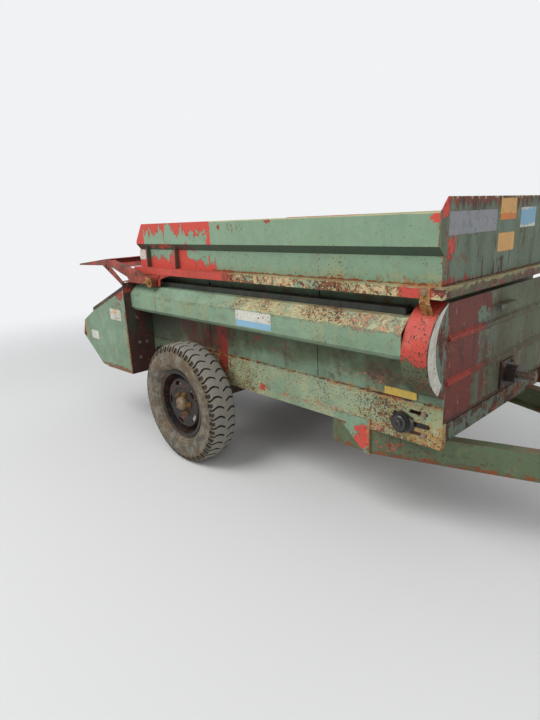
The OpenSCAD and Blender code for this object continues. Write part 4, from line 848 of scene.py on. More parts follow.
# the slides in the take-up slots are near black: partly grease, partly painted shade of the slots
dress(paintedMaterial("greaseAndShadeIron", dict(blackLook, gloss=0.30, deep="rubberDark", specks=0.1)),
      "chain_bearings")
dress(paintedMaterial("wornSteel", steelLook, [zone("rust", 12, 0.55, crisp=0.15, power=0.8)]),
      "floor", "floor_chain", "chain_shafts", "spinner_right", "spinner_left")
dress(paintedMaterial("inputSteel", dict(steelLook, deep="steel", specks=0.3, gloss=0.3, metal=0.9)),
      "input_shaft")
dress(paintedMaterial("beaterIron", dict(redLook, deep="maroonDeep", specks=0.7),
                      [zone("rustDark", 9, 0.62, crisp=0.15, rim=0.3)]), "beater")
dress(paintedMaterial("strapIron", dict(steelLook, paint="ochre", deep="rust", metal=0.1, gloss=0.6),
                      [zone("cream", 40, 0.42, crisp=0.10, power=0.8),
                       zone("rust", 54, 0.52, crisp=0.08),
                       zone("rustDark", 90, 0.38, crisp=0.03)]), "guard_strap")
dress(paintedMaterial("rimBlack", dict(blackLook, deep="rubberDark", clouds=0.9, specks=0.6, gloss=0.38),
                      [zone("mud", 9, 0.45, crisp=0.4, power=0.55),
                       zone("rust", 28, 0.30, crisp=0.1, power=0.7)]), "rim_right", "rim_left")
hubZones = [
    zone("mud", 26, 0.62, crisp=0.2, power=0.8),
    zone("black", 40, 0.42, crisp=0.10, power=0.8),
    zone("rust", 54, 0.42, crisp=0.06),
]
dress(paintedMaterial("hubPaint", {"paint": "dust", "deep": "mud", "clouds": 0.9, "streaks": 0.2,
                                   "specks": 0.5,
                                   "gloss": 0.5, "edge": 0.002}, hubZones), "hub_right", "hub_left")
dress(paintedMaterial("tyreRubber", {"paint": "rubber", "deep": "mud", "clouds": 0.8, "gloss": 0.8,
                                     "specks": 0.0, "streaks": 0.0}), "tyre_right", "tyre_left")
print("finishes laid on the nodes")


# Modelling helpers: each works on the object in hand, in edit mode

def applyPlace():
    bpy.ops.object.transform_apply(location=True, rotation=True, scale=True)


def pull(value):
    bpy.ops.mesh.extrude_region_move(TRANSFORM_OT_translate={"value": value})


def startAt(place):
    deselect()
    bpy.ops.mesh.primitive_plane_add(size=0.01, location=place)
    applyPlace()
    bpy.ops.object.mode_set(mode="EDIT")
    bpy.ops.mesh.select_mode(type="VERT")
    bpy.ops.mesh.select_all(action="SELECT")
    bpy.ops.mesh.merge(type="CENTER")


def traceOutline(points):
    startAt(points[0])
    for here, there in zip(points, points[1:] + points[:1]):
        step = [b - a for a, b in zip(here, there)]
        bpy.ops.mesh.extrude_vertices_move(TRANSFORM_OT_translate={"value": step})
    bpy.ops.mesh.select_all(action="SELECT")
    bpy.ops.mesh.remove_doubles(threshold=0.00001)
    bpy.ops.mesh.select_all(action="SELECT")


def pickFaces(test):
    bpy.ops.mesh.select_mode(type="FACE")
    bpy.ops.mesh.select_all(action="DESELECT")
    bpy.ops.object.mode_set(mode="OBJECT")
    for face in bpy.context.object.data.polygons:
        face.select = test(face.center, face.normal)
    bpy.ops.object.mode_set(mode="EDIT")


def pickPoints(test):
    bpy.ops.mesh.select_mode(type="VERT")
    bpy.ops.mesh.select_all(action="DESELECT")
    bpy.ops.object.mode_set(mode="OBJECT")
    for point in bpy.context.object.data.vertices:
        point.select = test(point.co)
    bpy.ops.object.mode_set(mode="EDIT")


def startDisc(sides, radius, depth, base=0.0):
    deselect()
    bpy.ops.mesh.primitive_cylinder_add(vertices=sides, radius=radius, depth=depth,
                                        location=(0, 0, base + depth / 2))
    applyPlace()
    bpy.ops.object.mode_set(mode="EDIT")
    pickFaces(lambda spot, normal: normal.z > 0.9)


def raiseRing(inset, rise):
    bpy.ops.mesh.inset(thickness=inset)
    bpy.ops.transform.translate(value=(0, 0, rise))


def thicken(value):
    bpy.ops.mesh.edge_face_add()
    pull(value)
    bpy.ops.mesh.select_all(action="SELECT")
    bpy.ops.mesh.normals_make_consistent(inside=False)


def closeUp(name, material, smooth=30.0):
    if bpy.context.mode != "OBJECT":
        bpy.ops.object.mode_set(mode="OBJECT")
    piece = bpy.context.object
    piece.name = name
    applyPlace()
    bpy.ops.object.shade_smooth_by_angle(angle=math.radians(smooth))
    if material:
        piece.data.materials.clear()
        piece.data.materials.append(material)
    return piece


def handOver(piece, body):
    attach(piece, body)
    return piece


def copyTo(pattern, places, name, body):
    made = []
    for place, way, size in places:
        twin = pattern.copy()
        twin.data = pattern.data.copy()
        bpy.context.collection.objects.link(twin)
        turn = Vector(way).to_track_quat("Z", "Y").to_matrix().to_4x4()
        twin.matrix_world = Matrix.Translation(place) @ turn @ Matrix.Scale(size, 4)
        made.append(twin)
    deselect()
    for twin in made:
        twin.select_set(True)
    bpy.context.view_layer.objects.active = made[0]
    if len(made) > 1:
        bpy.ops.object.join()
    applyPlace()
    made[0].name = name
    return handOver(made[0], body)


# Tyres: the profile spun round, slits cut from both shoulders, small notches, rings on the sidewall

tyre = {
    "bore": 0.205,           # radius of the bead
    "pitches": 40,           # slits round the tyre, on each side
    "steps": 5,              # mesh columns in a pitch, one of them the slit
    "slitDepth": 0.015,
    "slitInner": 0.016,      # the slits end this far from the middle line
    "slitOuter": 0.0905,
    "slitReach": 0.033,      # and this far below the tread
    "notchDepth": 0.007,
    "notchReach": (0.040, 0.010),       # from and to, below the tread
    "swing": 0.036,          # how far the slits curve along the tyre, in radians
    "swingWave": (0.052, 2.6),          # width of the curve, and how much of a wave it is, in radians
    "swingRows": (0.023, 0.088),        # rows that curve: this near the tread, inside this half width
    "swingReach": 0.034,
    "rings": 420.0,          # fine rings over the sidewall, waves in a metre
}


def tyreProfile(rim, top):
    side = [(rim, 0.042), (rim, 0.0600), (rim + 0.020, 0.0620), (rim + 0.030, 0.0700), (rim + 0.040, 0.0800),
            (rim + 0.048, 0.0888), (rim + 0.054, 0.0902), (rim + 0.058, 0.0925), (rim + 0.064, 0.0932),
            (rim + 0.074, 0.0950), (rim + 0.096, 0.0973), (rim + 0.112, 0.0972), (rim + 0.118, 0.0955),
            (rim + 0.130, 0.0952), (top - 0.043, 0.0935), (top - 0.036, 0.0915), (top - 0.022, 0.0868),
            (top - 0.012, 0.0790), (top - 0.007, 0.0690), (top - 0.0045, 0.0590), (top - 0.0025, 0.0480),
            (top - 0.001, 0.0360), (top, 0.0240), (top, 0.0100)]
    lining = [(top - 0.026, -0.030), (top - 0.026, 0.030)]
    inner = [(rim + 0.085, 0.0800), (rim + 0.024, 0.0440)]
    farSide = [(r, -y) for r, y in reversed(side)]
    return side + farSide + [(r, -y) for r, y in reversed(inner)] + lining + inner


# painted shade: the sunk faces and the faces around them take the darker rubber, standing in for the shade in
# the grooves
def sinkAndDarken(depth):
    bpy.ops.mesh.extrude_region_shrink_fatten(TRANSFORM_OT_shrink_fatten={"value": -depth})
    bpy.ops.mesh.select_more()
    bpy.context.object.active_material_index = 1
    bpy.ops.object.material_slot_assign()


def buildTyre(node, name, material, shade):
    low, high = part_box(node)
    axle = Vector([(a + b) / 2 for a, b in zip(low, high)])
    top = (high[2] - low[2]) / 2
    profile = tyreProfile(tyre["bore"], top)
    traceOutline([(axle.x, axle.y + y, axle.z + r) for r, y in profile])
    turns = tyre["pitches"] * tyre["steps"]
    bpy.ops.mesh.spin(steps=turns, angle=2 * math.pi, center=axle, axis=(0.0, 1.0, 0.0))
    bpy.ops.mesh.select_all(action="SELECT")
    bpy.ops.mesh.remove_doubles(threshold=0.0002)
    bpy.ops.mesh.normals_make_consistent(inside=False)

    def column(spot):
        angle = math.atan2(spot.x - axle.x, spot.z - axle.z)
        return int(angle / (2 * math.pi) * turns + turns) % tyre["steps"]

    def reach(spot):
        return math.hypot(spot.x - axle.x, spot.z - axle.z)

    def inSlit(spot, normal):
        across = abs(spot.y - axle.y)
        return (reach(spot) > top - tyre["slitReach"] and tyre["slitInner"] < across < tyre["slitOuter"]
                and column(spot) == (0 if spot.y < axle.y else tyre["steps"] // 2))

    def inNotch(spot, normal):
        low, high = tyre["notchReach"]
        columns = (2, 3) if spot.y < axle.y else (0, 4)
        return top - low < reach(spot) < top - high and column(spot) in columns

    bpy.context.object.data.materials.append(material)
    bpy.context.object.data.materials.append(shade)
    pickFaces(inNotch)
    sinkAndDarken(tyre["notchDepth"])
    pickFaces(inSlit)
    sinkAndDarken(tyre["slitDepth"])
    width, wave = tyre["swingWave"]
    depth, half = tyre["swingRows"]
    for r, y in profile:
        if r > top - depth and abs(y) < half:
            bend = tyre["swing"] * math.sin((abs(y) - tyre["slitInner"]) / width * wave)
            pickPoints(lambda spot, y=y: (abs(spot.y - axle.y - y) < 0.0008
                                          and reach(spot) > top - tyre["swingReach"]))
            bpy.ops.transform.rotate(value=bend, orient_axis="Y", center_override=axle)
    return closeUp(name, None, 35.0)


def fromAxle(tree, place):
    low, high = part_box("tyre_right")
    middle = ((low[0] + high[0]) / 2, 0.0, (low[2] + high[2]) / 2)
    flat = vectorMaths(tree, "MULTIPLY", vectorMaths(tree, "SUBTRACT", place, middle), (1.0, 0.0, 1.0))
    return vectorLength(tree, flat)


def tyreMaterial(top):
    material, tree, shader, place = newMaterial("tyreTread")
    out = fromAxle(tree, place)
    cloud = noise(tree, place, 7.0, 6.0, 0.7)
    grit = noise(tree, place, 160.0, 3.0, 0.6)
    color = blendColor(tree, ramp(tree, cloud, 0.35, 0.65), tones["rubber"], tones["mud"])
    worn = maths(tree, "MULTIPLY", ramp(tree, out, top - 0.030, top - 0.004),
                 ramp(tree, grit, 0.30, 0.62, 0.45, 1.0))
    color = blendColor(tree, worn, color, tones["treadDust"])
    ringWave = maths(tree, "SINE", maths(tree, "MULTIPLY", out, tyre["rings"]))
    side = ramp(tree, out, top - 0.052, top - 0.044, 1.0, 0.0)
    ringed = maths(tree, "MULTIPLY", side, ramp(tree, ringWave, 0.1, 0.9))
    color = blendColor(tree, maths(tree, "MULTIPLY", ringed, 0.42), color, tones["rubberDark"])
    dusty = maths(tree, "MULTIPLY", side, ramp(tree, noise(tree, place, 16.0, 5.0, 0.7), 0.42, 0.62))
    color = blendColor(tree, maths(tree, "MULTIPLY", dusty, 0.75), color, tones["sideDust"])
    rimDark = ramp(tree, out, 0.216, 0.246, 0.7, 0.0)
    color = blendColor(tree, rimDark, color, tones["rubberDark"])
    tree.links.new(color, shader.inputs["Base Color"])
    tree.links.new(ramp(tree, cloud, 0.3, 0.7, 0.70, 0.92), shader.inputs["Roughness"])
    shader.inputs["Specular IOR Level"].default_value = 0.25
    relief = maths(tree, "ADD", maths(tree, "MULTIPLY", grit, 0.4), maths(tree, "MULTIPLY", ringed, 0.8))
    addBump(tree, shader, relief, 0.5, 0.0012)
    return material


tyreTop = (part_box("tyre_right")[1][2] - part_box("tyre_right")[0][2]) / 2
tyreRubber = tyreMaterial(tyreTop)
# painted shade: the dark rubber of the slits and notches stands in for the shade in the grooves
slitRubber = paintedMaterial("slitRubber", {
    "paint": "rubberDark", "deep": "mud", "clouds": 0.35, "streaks": 0.0, "specks": 0.0, "gloss": 0.8})
for side in ("right", "left"):
    spare = buildTyre("tyre_" + side, "treadedTyre" + side.capitalize(), tyreRubber, slitRubber)
    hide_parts("tyre_" + side)
    handOver(spare, "wheel_" + side)
print("tyres cut")


# Fasteners: one pattern of each kind, copied to every place

boltIron = paintedMaterial("boltIron", {
    "paint": "steel", "deep": "rustDark", "clouds": 0.9, "specks": 0.8, "gloss": 0.5, "metal": 0.4,
    "bump": 0.3})
nutIron = paintedMaterial("nutIron", {
    "paint": "ochre", "deep": "rustDark", "clouds": 0.9, "specks": 0.7, "gloss": 0.6, "metal": 0.1,
    "bump": 0.5})
darkIron = paintedMaterial("darkIron", {
    "paint": "black", "deep": "brown", "clouds": 0.8, "specks": 0.7, "gloss": 0.45, "metal": 0.2,
    "bump": 0.4})
zincIron = paintedMaterial("zincIron", {
    "paint": "dust", "deep": "rust", "clouds": 0.9, "specks": 0.6, "gloss": 0.42, "metal": 0.35, "bump": 0.2})
greaseBlack = paintedMaterial("greaseBlack", {
    "paint": "black", "deep": "rubberDark", "clouds": 0.8, "streaks": 0.2, "specks": 0.2, "gloss": 0.22,
    "specular": 0.6, "bump": 0.8})

out = (0, -1, 0)        # ways that a fastener points: out of the right side, inwards, ahead, up
inn = (0, 1, 0)
ahead = (1, 0, 0)
up = (0, 0, 1)
faceY = -0.620          # outer face of the side sheet


def bothSides(places):
    return places + [((x, -y, z), (i, -j, k), size) for (x, y, z), (i, j, k), size in places]


def back(x):
    return wallX + x


def sideSpots(face, size, spots):
    return bothSides([((back(x), face, z), out, size) for x, z in spots])


bolt = {
    "head": 0.0095,          # half width over the corners of an M10 head
    "height": 0.0065,
    "washer": 0.0115,
    "washerHeight": 0.0016,
    "nutStub": 0.008,        # how far the thread stands out of a nut
    "darkStub": 0.006,
}


def buildBolt(name, material, stub=0.0):
    head, rise = bolt["head"], bolt["washerHeight"]
    startDisc(6, head, bolt["height"], rise)
    raiseRing(head * 0.14, head * 0.11)
    if stub > 0.0:
        bpy.ops.mesh.inset(thickness=head * 0.34)
        pull((0, 0, stub))
        raiseRing(head * 0.09, head * 0.08)
    bpy.ops.mesh.select_mode(type="VERT")
    bpy.ops.mesh.select_all(action="DESELECT")
    bpy.ops.mesh.primitive_cylinder_add(vertices=20, radius=bolt["washer"], depth=rise,
                                        location=(0, 0, rise / 2))
    pickFaces(lambda spot, normal: normal.z > 0.9 and spot.z < rise + 0.0001)
    raiseRing(rise * 0.4, rise * 0.15)
    return closeUp(name, material, 25.0)


def buildDome(name, material):
    startDisc(18, 0.010, 0.004)
    for inset, rise in ((0.0018, 0.0014), (0.0026, 0.0010), (0.0028, 0.0004)):
        raiseRing(inset, rise)
    return closeUp(name, material, 60.0)


patternBolt = buildBolt("patternBolt", boltIron)
patternNut = buildBolt("patternNut", nutIron, bolt["nutStub"])
patternZinc = buildBolt("patternZinc", zincIron)
patternDark = buildBolt("patternDark", darkIron, bolt["darkStub"])
patternDome = buildDome("patternDome", darkIron)

# Rear posts and the strap of the chain guard

post = {"size": 1.1, "bolts": [(-0.741, 0.871), (-0.740, 0.687), (-0.683, 0.683), (-0.746, 0.575),
                               (-0.684, 0.93)]}
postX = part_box("rear_posts")[1][0]
postSpots = [((postX, y, z), ahead, post["size"]) for y, z in post["bolts"]]
copyTo(patternBolt, bothSides(postSpots), "postBolts", "root")

strap = {"x": -0.044, "z": 1.211, "size": 1.25}
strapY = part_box("guard_strap")[0][1]
strapSpot = ((back(strap["x"]), strapY, strap["z"]), out, strap["size"])
copyTo(patternZinc, [strapSpot], "strapBolt", "root")

# Take-up slots and bearing of the floor chain's front shaft

takeUp = {
    "bolts": [(-0.088, 0.661), (-0.085, 0.563)],
    "boltSize": 1.15,
    "nuts": [(-0.067, 0.605)],
    "nutSize": 0.9,
}
copyTo(patternZinc, sideSpots(faceY, takeUp["boltSize"], takeUp["bolts"]), "slotBolts", "root")
# the nuts in the slots take the dark pattern: partly their dark iron, partly painted shade of the slots
copyTo(patternDark, sideSpots(faceY, takeUp["nutSize"], takeUp["nuts"]), "slotNuts", "root")

bearing = {
    "x": -0.190,
    "z": 0.604,
    "cap": 0.036,                  # radius
    "grease": (0.012, 0.004, -0.006),      # middle: ahead of the cap's, out of the sheet, above the cap's
    "greaseRadius": 0.05,
    "greaseForm": (1.0, 0.9, 0.36),
    "nipple": (0.012, 0.045),      # behind the cap's face and above the middle
    "nippleSize": 1.2,
    "flange": 0.010,                       # thickness
    "bolts": [(-0.0341, 0.640), (-0.0341, 0.568)],
    "boltSize": 0.95,
}
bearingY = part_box("chain_bearings")[0][1]


def buildCap(name, radius, material):
    startDisc(32, radius, 0.008)
    raiseRing(radius * 0.10, 0.003)
    bpy.ops.mesh.inset(thickness=radius * 0.42)
    pull((0, 0, 0.006))
    raiseRing(radius * 0.06, 0.0015)
    bpy.ops.mesh.inset(thickness=radius * 0.18)
    pull((0, 0, -0.003))
    return closeUp(name, material, 30.0)


def buildNipple(name, material):
    startDisc(12, 0.0045, 0.005)
    for inset, rise in ((0.0014, 0.0), (0.0, 0.004), (-0.0009, 0.0012), (0.0009, 0.002), (0.0014, 0.0008)):
        if inset:
            bpy.ops.mesh.inset(thickness=abs(inset), use_outset=inset < 0)
        pull((0, 0, max(rise, 0.0002)))
    return closeUp(name, material, 50.0)


def buildGrease(name, material):
    deselect()
    bpy.ops.mesh.primitive_ico_sphere_add(subdivisions=4, radius=bearing["greaseRadius"])
    bpy.ops.object.mode_set(mode="EDIT")
    bpy.ops.mesh.select_all(action="SELECT")
    bpy.ops.transform.resize(value=bearing["greaseForm"])
    bpy.ops.transform.vertex_random(offset=0.0016, seed=5)
    bpy.ops.mesh.vertices_smooth(factor=0.5, repeat=2)
    bpy.ops.transform.vertex_random(offset=0.0009, seed=9)
    return closeUp(name, material, 60.0)


patternCap = buildCap("patternCap", bearing["cap"], greaseBlack)
patternGrease = buildGrease("patternGrease", greaseBlack)
forward, proud, above = bearing["grease"]
greaseSpot = ((back(bearing["x"] + forward), faceY - proud, bearing["z"] + above), out, 1.0)
copyTo(patternGrease, bothSides([greaseSpot]), "greaseLumps", "root")
patternNipple = buildNipple("patternNipple", boltIron)
capSpot = ((back(bearing["x"]), bearingY, bearing["z"]), out, 1.0)
copyTo(patternCap, bothSides([capSpot]), "bearingCaps", "root")
inward, above = bearing["nipple"]
nippleSpot = ((back(bearing["x"]), bearingY + inward, bearing["z"] + above), up, bearing["nippleSize"])
copyTo(patternNipple, bothSides([nippleSpot]), "bearingNipples", "root")
flangeBolts = [(bearing["x"] + x, z) for x, z in bearing["bolts"]]
flangeSpots = sideSpots(faceY - bearing["flange"], bearing["boltSize"], flangeBolts)
copyTo(patternDark, flangeSpots, "bearingBolts", "root")

# Drive input: bolts of its flange

inputPlate = {"face": 0.010, "aside": 0.058, "rise": 0.052, "size": 1.1}
inputLow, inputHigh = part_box("input_bearing")
inputZ = (inputLow[2] + inputHigh[2]) / 2
inputSpots = []
for aside in (-inputPlate["aside"], inputPlate["aside"]):
    for rise in (-inputPlate["rise"], inputPlate["rise"]):
        inputSpots.append(((wallX + inputPlate["face"], aside, inputZ + rise), ahead, inputPlate["size"]))
copyTo(patternBolt, inputSpots, "inputBolts", "root")
print("bolts and bearing caps set")


# Wheels: valve stems through the rim's gutter

valve = {"ring": 0.186, "seat": 0.030, "turn": 20.0, "size": 1.2}


def buildValve(name, material):
    startDisc(14, 0.0052, 0.006)
    for inset, rise in ((0.0012, 0.016), (-0.0010, 0.001), (0.0, 0.009), (0.0012, 0.001)):
        pull((0, 0, 0.0002))
        if inset > 0:
            bpy.ops.mesh.inset(thickness=inset)
        if inset < 0:
            bpy.ops.transform.resize(value=(1.25, 1.25, 1.0))
        pull((0, 0, rise))
    return closeUp(name, material, 40.0)


patternValve = buildValve("patternValve", darkIron)
wheelMiddle = [(a + b) / 2 for a, b in zip(*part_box("tyre_right"))]
valveAngle = math.radians(valve["turn"])
for side, sign in (("right", -1), ("left", 1)):
    spot = (wheelMiddle[0] + valve["ring"] * math.cos(valveAngle),
            sign * (abs(wheelMiddle[1]) + valve["seat"]),
            wheelMiddle[2] + valve["ring"] * math.sin(valveAngle))
    copyTo(patternValve, [(spot, (-0.25, sign, -0.1), valve["size"])], "valve" + side.capitalize(),
           "wheel_" + side)

# Spinner discs: bolts through the feet of the vanes and a nut on each hub

vaneFoot = {"start": 0.052, "aside": 0.018, "turn": 8.0, "places": (0.022, 0.100, 0.182), "middle": 0.015,
            "size": 0.95, "nutSize": 2.0, "nutDrop": 0.020, "discDrop": 0.039}
for side, sign in (("right", 1), ("left", -1)):
    low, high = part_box("spinner_" + side)
    middle = Vector(((low[0] + high[0]) / 2, (low[1] + high[1]) / 2, high[2] - vaneFoot["discDrop"]))
    places = [((middle.x, middle.y, high[2] - vaneFoot["nutDrop"]), up, vaneFoot["nutSize"])]
    lean = Matrix.Rotation(math.radians(-vaneFoot["turn"] * sign), 3, "Z")
    for quarter in range(4):
        arm = Matrix.Rotation(math.radians(90 * quarter), 3, "Z")
        for along in vaneFoot["places"]:
            foot = lean @ Vector((along, -sign * vaneFoot["middle"], 0))
            spot = middle + arm @ (Vector((vaneFoot["start"], sign * vaneFoot["aside"], 0)) + foot)
            places.append((spot, up, vaneFoot["size"]))
    copyTo(patternBolt, places, "spinnerBolts" + side.capitalize(), "spinner_disc_" + side)

# Gear cases: cover bolts

spinnerCase = {"behind": 0.055, "aside": 0.042, "rises": (0.012, 0.062), "floor": 0.009, "size": 0.95}
feedCase = {"aside": 0.058, "rise": 0.070, "face": 0.012, "size": 1.1, "ring": 0.050, "ringSize": 0.9}

low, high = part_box("spinner_right")
caseX, caseY = (low[0] + high[0]) / 2, abs(low[1] + high[1]) / 2
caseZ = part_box("spinner_drive")[0][2] + spinnerCase["floor"]
caseSpots = []
for aside in (-spinnerCase["aside"], spinnerCase["aside"]):
    for rise in spinnerCase["rises"]:
        place = (caseX - spinnerCase["behind"], -caseY + aside, caseZ + rise)
        caseSpots.append((place, (-1, 0, 0), spinnerCase["size"]))
low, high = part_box("feed_gearbox")
feedX, feedZ = (low[0] + high[0]) / 2, low[2] + feedCase["rise"]
feedSpots = []
for aside in (-feedCase["aside"], feedCase["aside"]):
    for rise in (-feedCase["aside"], feedCase["aside"]):
        feedSpots.append(((feedX + aside, low[1] + feedCase["face"], feedZ + rise), inn, feedCase["size"]))
for count in range(6):
    angle = math.radians(30 + 60 * count)
    place = (feedX + feedCase["ring"] * math.cos(angle), high[1], feedZ + feedCase["ring"] * math.sin(angle))
    feedSpots.append((place, inn, feedCase["ringSize"]))
copyTo(patternDark, bothSides(caseSpots) + feedSpots, "gearBolts", "root")

# Hood and tail plates: pivot nuts, two bolts on the brace, the nub at the tail's end

hoodFitting = {"pivot": (-2.021, 1.142), "pivotSize": 1.7, "bolts": [(-2.611, 1.222), (-2.581, 1.208)],
               "boltSize": 0.9}
tailNub = {"place": (-3.022, 0.674), "size": 1.2}
pivotSpots = sideSpots(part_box("hood_hinges")[0][1], hoodFitting["pivotSize"], [hoodFitting["pivot"]])
copyTo(patternNut, pivotSpots, "pivotNuts", "root")
hoodSpots = sideSpots(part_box("hood")[0][1], hoodFitting["boltSize"], hoodFitting["bolts"])
copyTo(patternDome, hoodSpots, "hoodBolts", "rear_hood")
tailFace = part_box("tail_plates")[0][1]
copyTo(patternDome, sideSpots(tailFace, tailNub["size"], [tailNub["place"]]), "tailNubs", "root")

# Parking stand: nuts on its pivot

standNut = {"behind": 0.004, "rise": 0.040, "size": 1.6}
earLow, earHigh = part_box("stand_ears")
standX = (earLow[0] + earHigh[0]) / 2 - standNut["behind"]
standSpot = ((standX, earLow[1], earLow[2] + standNut["rise"]), out, standNut["size"])
copyTo(patternNut, bothSides([standSpot]), "standNuts", "root")
print("valves, spinner bolts and case bolts set")


# Drive input: splines on its end, with a groove for the lock

spline = {
    "root": 0.0180,
    "crest": 0.0205,
    "count": 6,
    "start": 0.086,
    "rings": ((0.115, 1.0), (0.1165, 0.90), (0.1215, 1.0), (0.123, 1.111), (0.1447, 1.0), (0.1462, 0.94)),
}


def splineOutline(x):
    spots = []
    for count in range(spline["count"]):
        for turn, reach in ((-15, "root"), (-11, "crest"), (11, "crest"), (15, "root")):
            angle = math.radians(count * 360.0 / spline["count"] + turn)
            spots.append((wallX + x, spline[reach] * math.cos(angle),
                          inputZ + spline[reach] * math.sin(angle)))
    return spots


traceOutline(splineOutline(spline["start"]))
bpy.ops.mesh.edge_face_add()
axis = Vector((wallX + spline["start"], 0.0, inputZ))
for x, grow in spline["rings"]:
    pull((wallX + x - axis.x, 0, 0))
    axis.x = wallX + x
    bpy.ops.transform.resize(value=(1.0, grow, grow), center_override=axis)
bpy.ops.mesh.select_all(action="SELECT")
bpy.ops.mesh.normals_make_consistent(inside=False)
inputFinish = paintedMaterial("splineSteel", dict(steelLook, deep="rust", specks=0.5, gloss=0.35, metal=0.8))
handOver(closeUp("inputSplines", inputFinish, 25.0), "drive_input")

# Weld beads: a small dome, repeated along each seam

weld = {
    "radius": 0.0045,
    "depth": 0.0012,
    "pitch": 0.0040,
    "sway": (0.12, 2.4),                   # how much the beads differ in size, and how fast
    "gusset": (0.02, 0.508),               # the upright seam: above the gusset's foot, and its top
    "gussetTop": (0.02, 0.07, 0.512),      # the level seam: start and end from the rear edge, and its height
    "post": (0.004, 0.015),                # inside the post's face, half the length
    "postHeights": (0.56, 0.72, 0.88, 1.02),
    "ear": (0.004, 0.012, 0.003),          # from both ends, and into the sheet
    "earSize": 1.1,
}
weldIron = paintedMaterial("weldIron", {
    "paint": "moss", "deep": "rust", "clouds": 0.9, "streaks": 0.1, "specks": 0.7, "gloss": 0.55,
    "bump": 0.5})


def buildBead(name, material):
    startDisc(10, weld["radius"], weld["depth"], -weld["depth"] / 2)
    for inset, rise in ((0.0009, 0.0008), (0.0014, 0.0006)):
        raiseRing(inset, rise)
    return closeUp(name, material, 60.0)


def seam(start, end, way, size=1.0):
    start, end = Vector(start), Vector(end)
    sway, speed = weld["sway"]
    count = max(2, int((end - start).length / (weld["pitch"] * size)))
    return [(start.lerp(end, step / count), way, size * (1.0 + sway * math.sin(step * speed)))
            for step in range(count + 1)]


patternBead = buildBead("patternBead", weldIron)
gussetLow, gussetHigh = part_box("gussets")
foot, top = weld["gusset"]
seams = seam((gussetHigh[0], gussetLow[1], gussetLow[2] + foot), (gussetHigh[0], gussetLow[1], top), out)
inset, half = weld["post"]
for z in weld["postHeights"]:
    seams += seam((postX - inset, tailFace, z - half), (postX - inset, tailFace, z + half), out)
rear, front, inward = weld["ear"]
seams += seam((earLow[0] + rear, earLow[1] + inward, earHigh[2]),
              (earHigh[0] - front, earLow[1] + inward, earHigh[2]), out, weld["earSize"])
rear, front, level = weld["gussetTop"]
seams += seam((gussetLow[0] + rear, gussetLow[1], level), (gussetLow[0] + front, gussetLow[1], level), out)
copyTo(patternBead, bothSides(seams), "weldSeams", "root")

# A small lug on the rail above the drive cover

lug = {"start": (-0.690, -0.646, 1.1305), "size": (0.062, 0.014, 0.003), "lift": 0.012,
       "tip": (0.010, 0, 0.002)}
lugStart, lugSize = lug["start"], lug["size"]
lugMiddle = [back(lugStart[0] + lugSize[0] / 2), lugStart[1], lugStart[2] + lugSize[2] / 2]
deselect()
bpy.ops.mesh.primitive_cube_add(size=1, location=lugMiddle, scale=lugSize)
applyPlace()
bpy.ops.object.mode_set(mode="EDIT")
pickFaces(lambda spot, normal: normal.x > 0.9)
bpy.ops.transform.translate(value=(0, 0, lug["lift"]))
pull(lug["tip"])
bpy.ops.mesh.select_all(action="SELECT")
bpy.ops.mesh.bevel(offset=0.0008, segments=2)
handOver(closeUp("railLug", darkIron, 40.0), "root")
print("splines, welds and lug made")


# Blank stickers and the crescent plate

sticker = {"gap": 0.0003, "thick": 0.0005, "corner": 0.004}      # they stand this gap off the sheet
stickerPlaces = {          # facing, face, across, height, tone
    "coverSticker": ("y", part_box("shaft_cover")[0][1], (-1.152, -0.874), (0.957, 1.043), "white"),
    "frontSticker": ("y", faceY, (-0.290, -0.125), (0.716, 0.752), "yellow"),
    "boardSticker": ("y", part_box("board_right")[0][1] + 0.035, (-2.284, -2.205), (1.274, 1.341), "white"),
    "tailStickerHigh": ("y", tailFace, (-2.540, -2.378), (0.845, 0.925), "white"),
    "tailStickerLow": ("y", tailFace, (-2.905, -2.785), (0.655, 0.722), "white"),
    "headStickerWide": ("x", wallX, (-0.650, -0.230), (1.419, 1.507), "silver"),
    "headStickerHigh": ("x", wallX, (-0.197, -0.031), (1.461, 1.552), "orange"),
    "headStickerLow": ("x", wallX, (-0.204, -0.034), (1.325, 1.405), "orange"),
    "headStickerPale": ("x", wallX, (0.026, 0.205), (1.420, 1.510), "skyBlue"),
}


def stickerMaterial(name, tint, worn, zones=()):
    return paintedMaterial(name, {
        "paint": tint, "deep": "dust", "clouds": worn, "streaks": 0.4, "specks": worn, "gloss": 0.38,
        "specular": 0.4, "bump": 0.15}, zones)


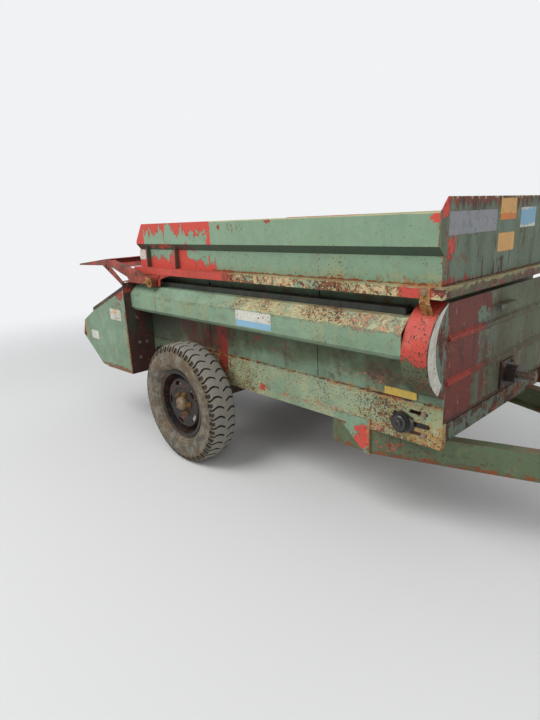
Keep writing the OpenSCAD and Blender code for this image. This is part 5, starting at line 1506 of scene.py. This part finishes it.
stickerFinish = {
    "white": stickerMaterial("whiteSticker", "white", 0.55, [
        zone("skyBlue", x=(-1.2, -0.8), z=(0.93, 0.990), y=(-0.79, -0.76), fade=(0.001, 0.001, 0.001),
             ragged=0.0005, power=0.85),
        zone("orange", 20, 0.55, x=(-2.56, -2.43), z=(0.895, 0.93), power=0.6, crisp=0.1),
        zone("dust", 22, 0.40, crisp=0.2, power=0.6)]),
    "yellow": stickerMaterial("yellowSticker", "yellow", 0.45, [
        zone("rust", 50, 0.28, crisp=0.05)]),
    "silver": stickerMaterial("silverSticker", "silver", 0.35, [
        zone("greyGreen", 26, 0.50, crisp=0.15, power=0.7, patchy=0.0),
        zone("slate", 50, 0.36, crisp=0.10, power=0.6, patchy=0.3),
        zone("rustDark", 30, 0.18, drawn=0.2, crisp=0.05, patchy=0.0)]),
    "orange": stickerMaterial("orangeSticker", "orange", 0.5, [
        zone("orangeDeep", 8, 1.1, z=(1.461, 1.490), y=(-0.2, -0.02), power=0.7, fade=(0.1, 0.01, 0.003)),
        zone("rust", 44, 0.25, crisp=0.05)]),
    "skyBlue": stickerMaterial("paleSticker", "white", 0.6, [
        zone("skyBlue", 7, 0.9, crisp=0.15, power=0.85, z=(1.44, 1.49), fade=(0.1, 0.1, 0.03))]),
}


def roundedCorners(low, high, radius):
    spots = []
    for middleA, middleB, start in ((high[0], high[1], 0), (low[0], high[1], 90), (low[0], low[1], 180),
                                    (high[0], low[1], 270)):
        inA = middleA - radius if start in (0, 270) else middleA + radius
        inB = middleB - radius if start in (0, 90) else middleB + radius
        for step in (0, 45, 90):
            angle = math.radians(start + step)
            spots.append((inA + radius * math.cos(angle), inB + radius * math.sin(angle)))
    return spots


for name, (facing, level, across, tall, tint) in stickerPlaces.items():
    spots = roundedCorners((across[0], tall[0]), (across[1], tall[1]), sticker["corner"])
    if facing == "y":
        traceOutline([(back(a), level - sticker["gap"], b) for a, b in spots])
        thicken((0, -sticker["thick"], 0))
    else:
        traceOutline([(level + sticker["gap"], a, b) for a, b in spots])
        thicken((sticker["thick"], 0, 0))
    handOver(closeUp(name, stickerFinish[tint]), "root")

crescent = {
    "middle": (-0.555, 0.955),
    "outer": 0.2105,
    "from": 108.0,
    "to": 236.0,
    "waist": 0.062,
    "steps": 16,
    "thick": 0.0012,
}


def crescentOutline():
    outer, inner = [], []
    for step in range(crescent["steps"] + 1):
        share = step / crescent["steps"]
        angle = math.radians(crescent["from"] + (crescent["to"] - crescent["from"]) * share)
        near = crescent["outer"] - crescent["waist"] * math.sin(math.pi * (share * 0.70 + 0.02))
        outer.append((crescent["outer"] * math.cos(angle), crescent["outer"] * math.sin(angle)))
        if step > 0:
            inner.append((near * math.cos(angle), near * math.sin(angle)))
    return [(crescent["middle"][0] + a, crescent["middle"][1] + b) for a, b in outer + inner[::-1]]


traceOutline([(wallX + sticker["gap"], a, b) for a, b in crescentOutline()])
thicken((crescent["thick"], 0, 0))
crescentWhite = stickerMaterial("crescentWhite", "white", 0.5, [
    zone("dust", 16, 0.45, crisp=0.3, power=0.5)])
handOver(closeUp("guardCrescent", crescentWhite), "root")
print("stickers laid")


# Wheel nuts, in a ring on each rim

stud = {"ring": 0.066, "seat": 0.037, "count": 5, "size": 1.55}
rimLow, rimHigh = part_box("rim_right")
axleX, axleZ = (rimLow[0] + rimHigh[0]) / 2, (rimLow[2] + rimHigh[2]) / 2
wheelY = (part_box("tyre_left")[0][1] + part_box("tyre_left")[1][1]) / 2
for side, sign in (("right", -1), ("left", 1)):
    nuts = []
    for count in range(stud["count"]):
        angle = math.radians(count * 360.0 / stud["count"])
        place = (axleX + stud["ring"] * math.cos(angle), sign * (wheelY + stud["seat"]),
                 axleZ + stud["ring"] * math.sin(angle))
        nuts.append((place, (0, sign, 0), stud["size"]))
    copyTo(patternNut, nuts, "wheelNuts" + side.capitalize(), "wheel_" + side)

for pattern in (patternBolt, patternNut, patternZinc, patternDark, patternDome, patternCap, patternNipple,
                patternValve, patternBead, patternGrease):
    bpy.data.objects.remove(pattern, do_unlink=True)
print("wheel nuts set, patterns cleared")
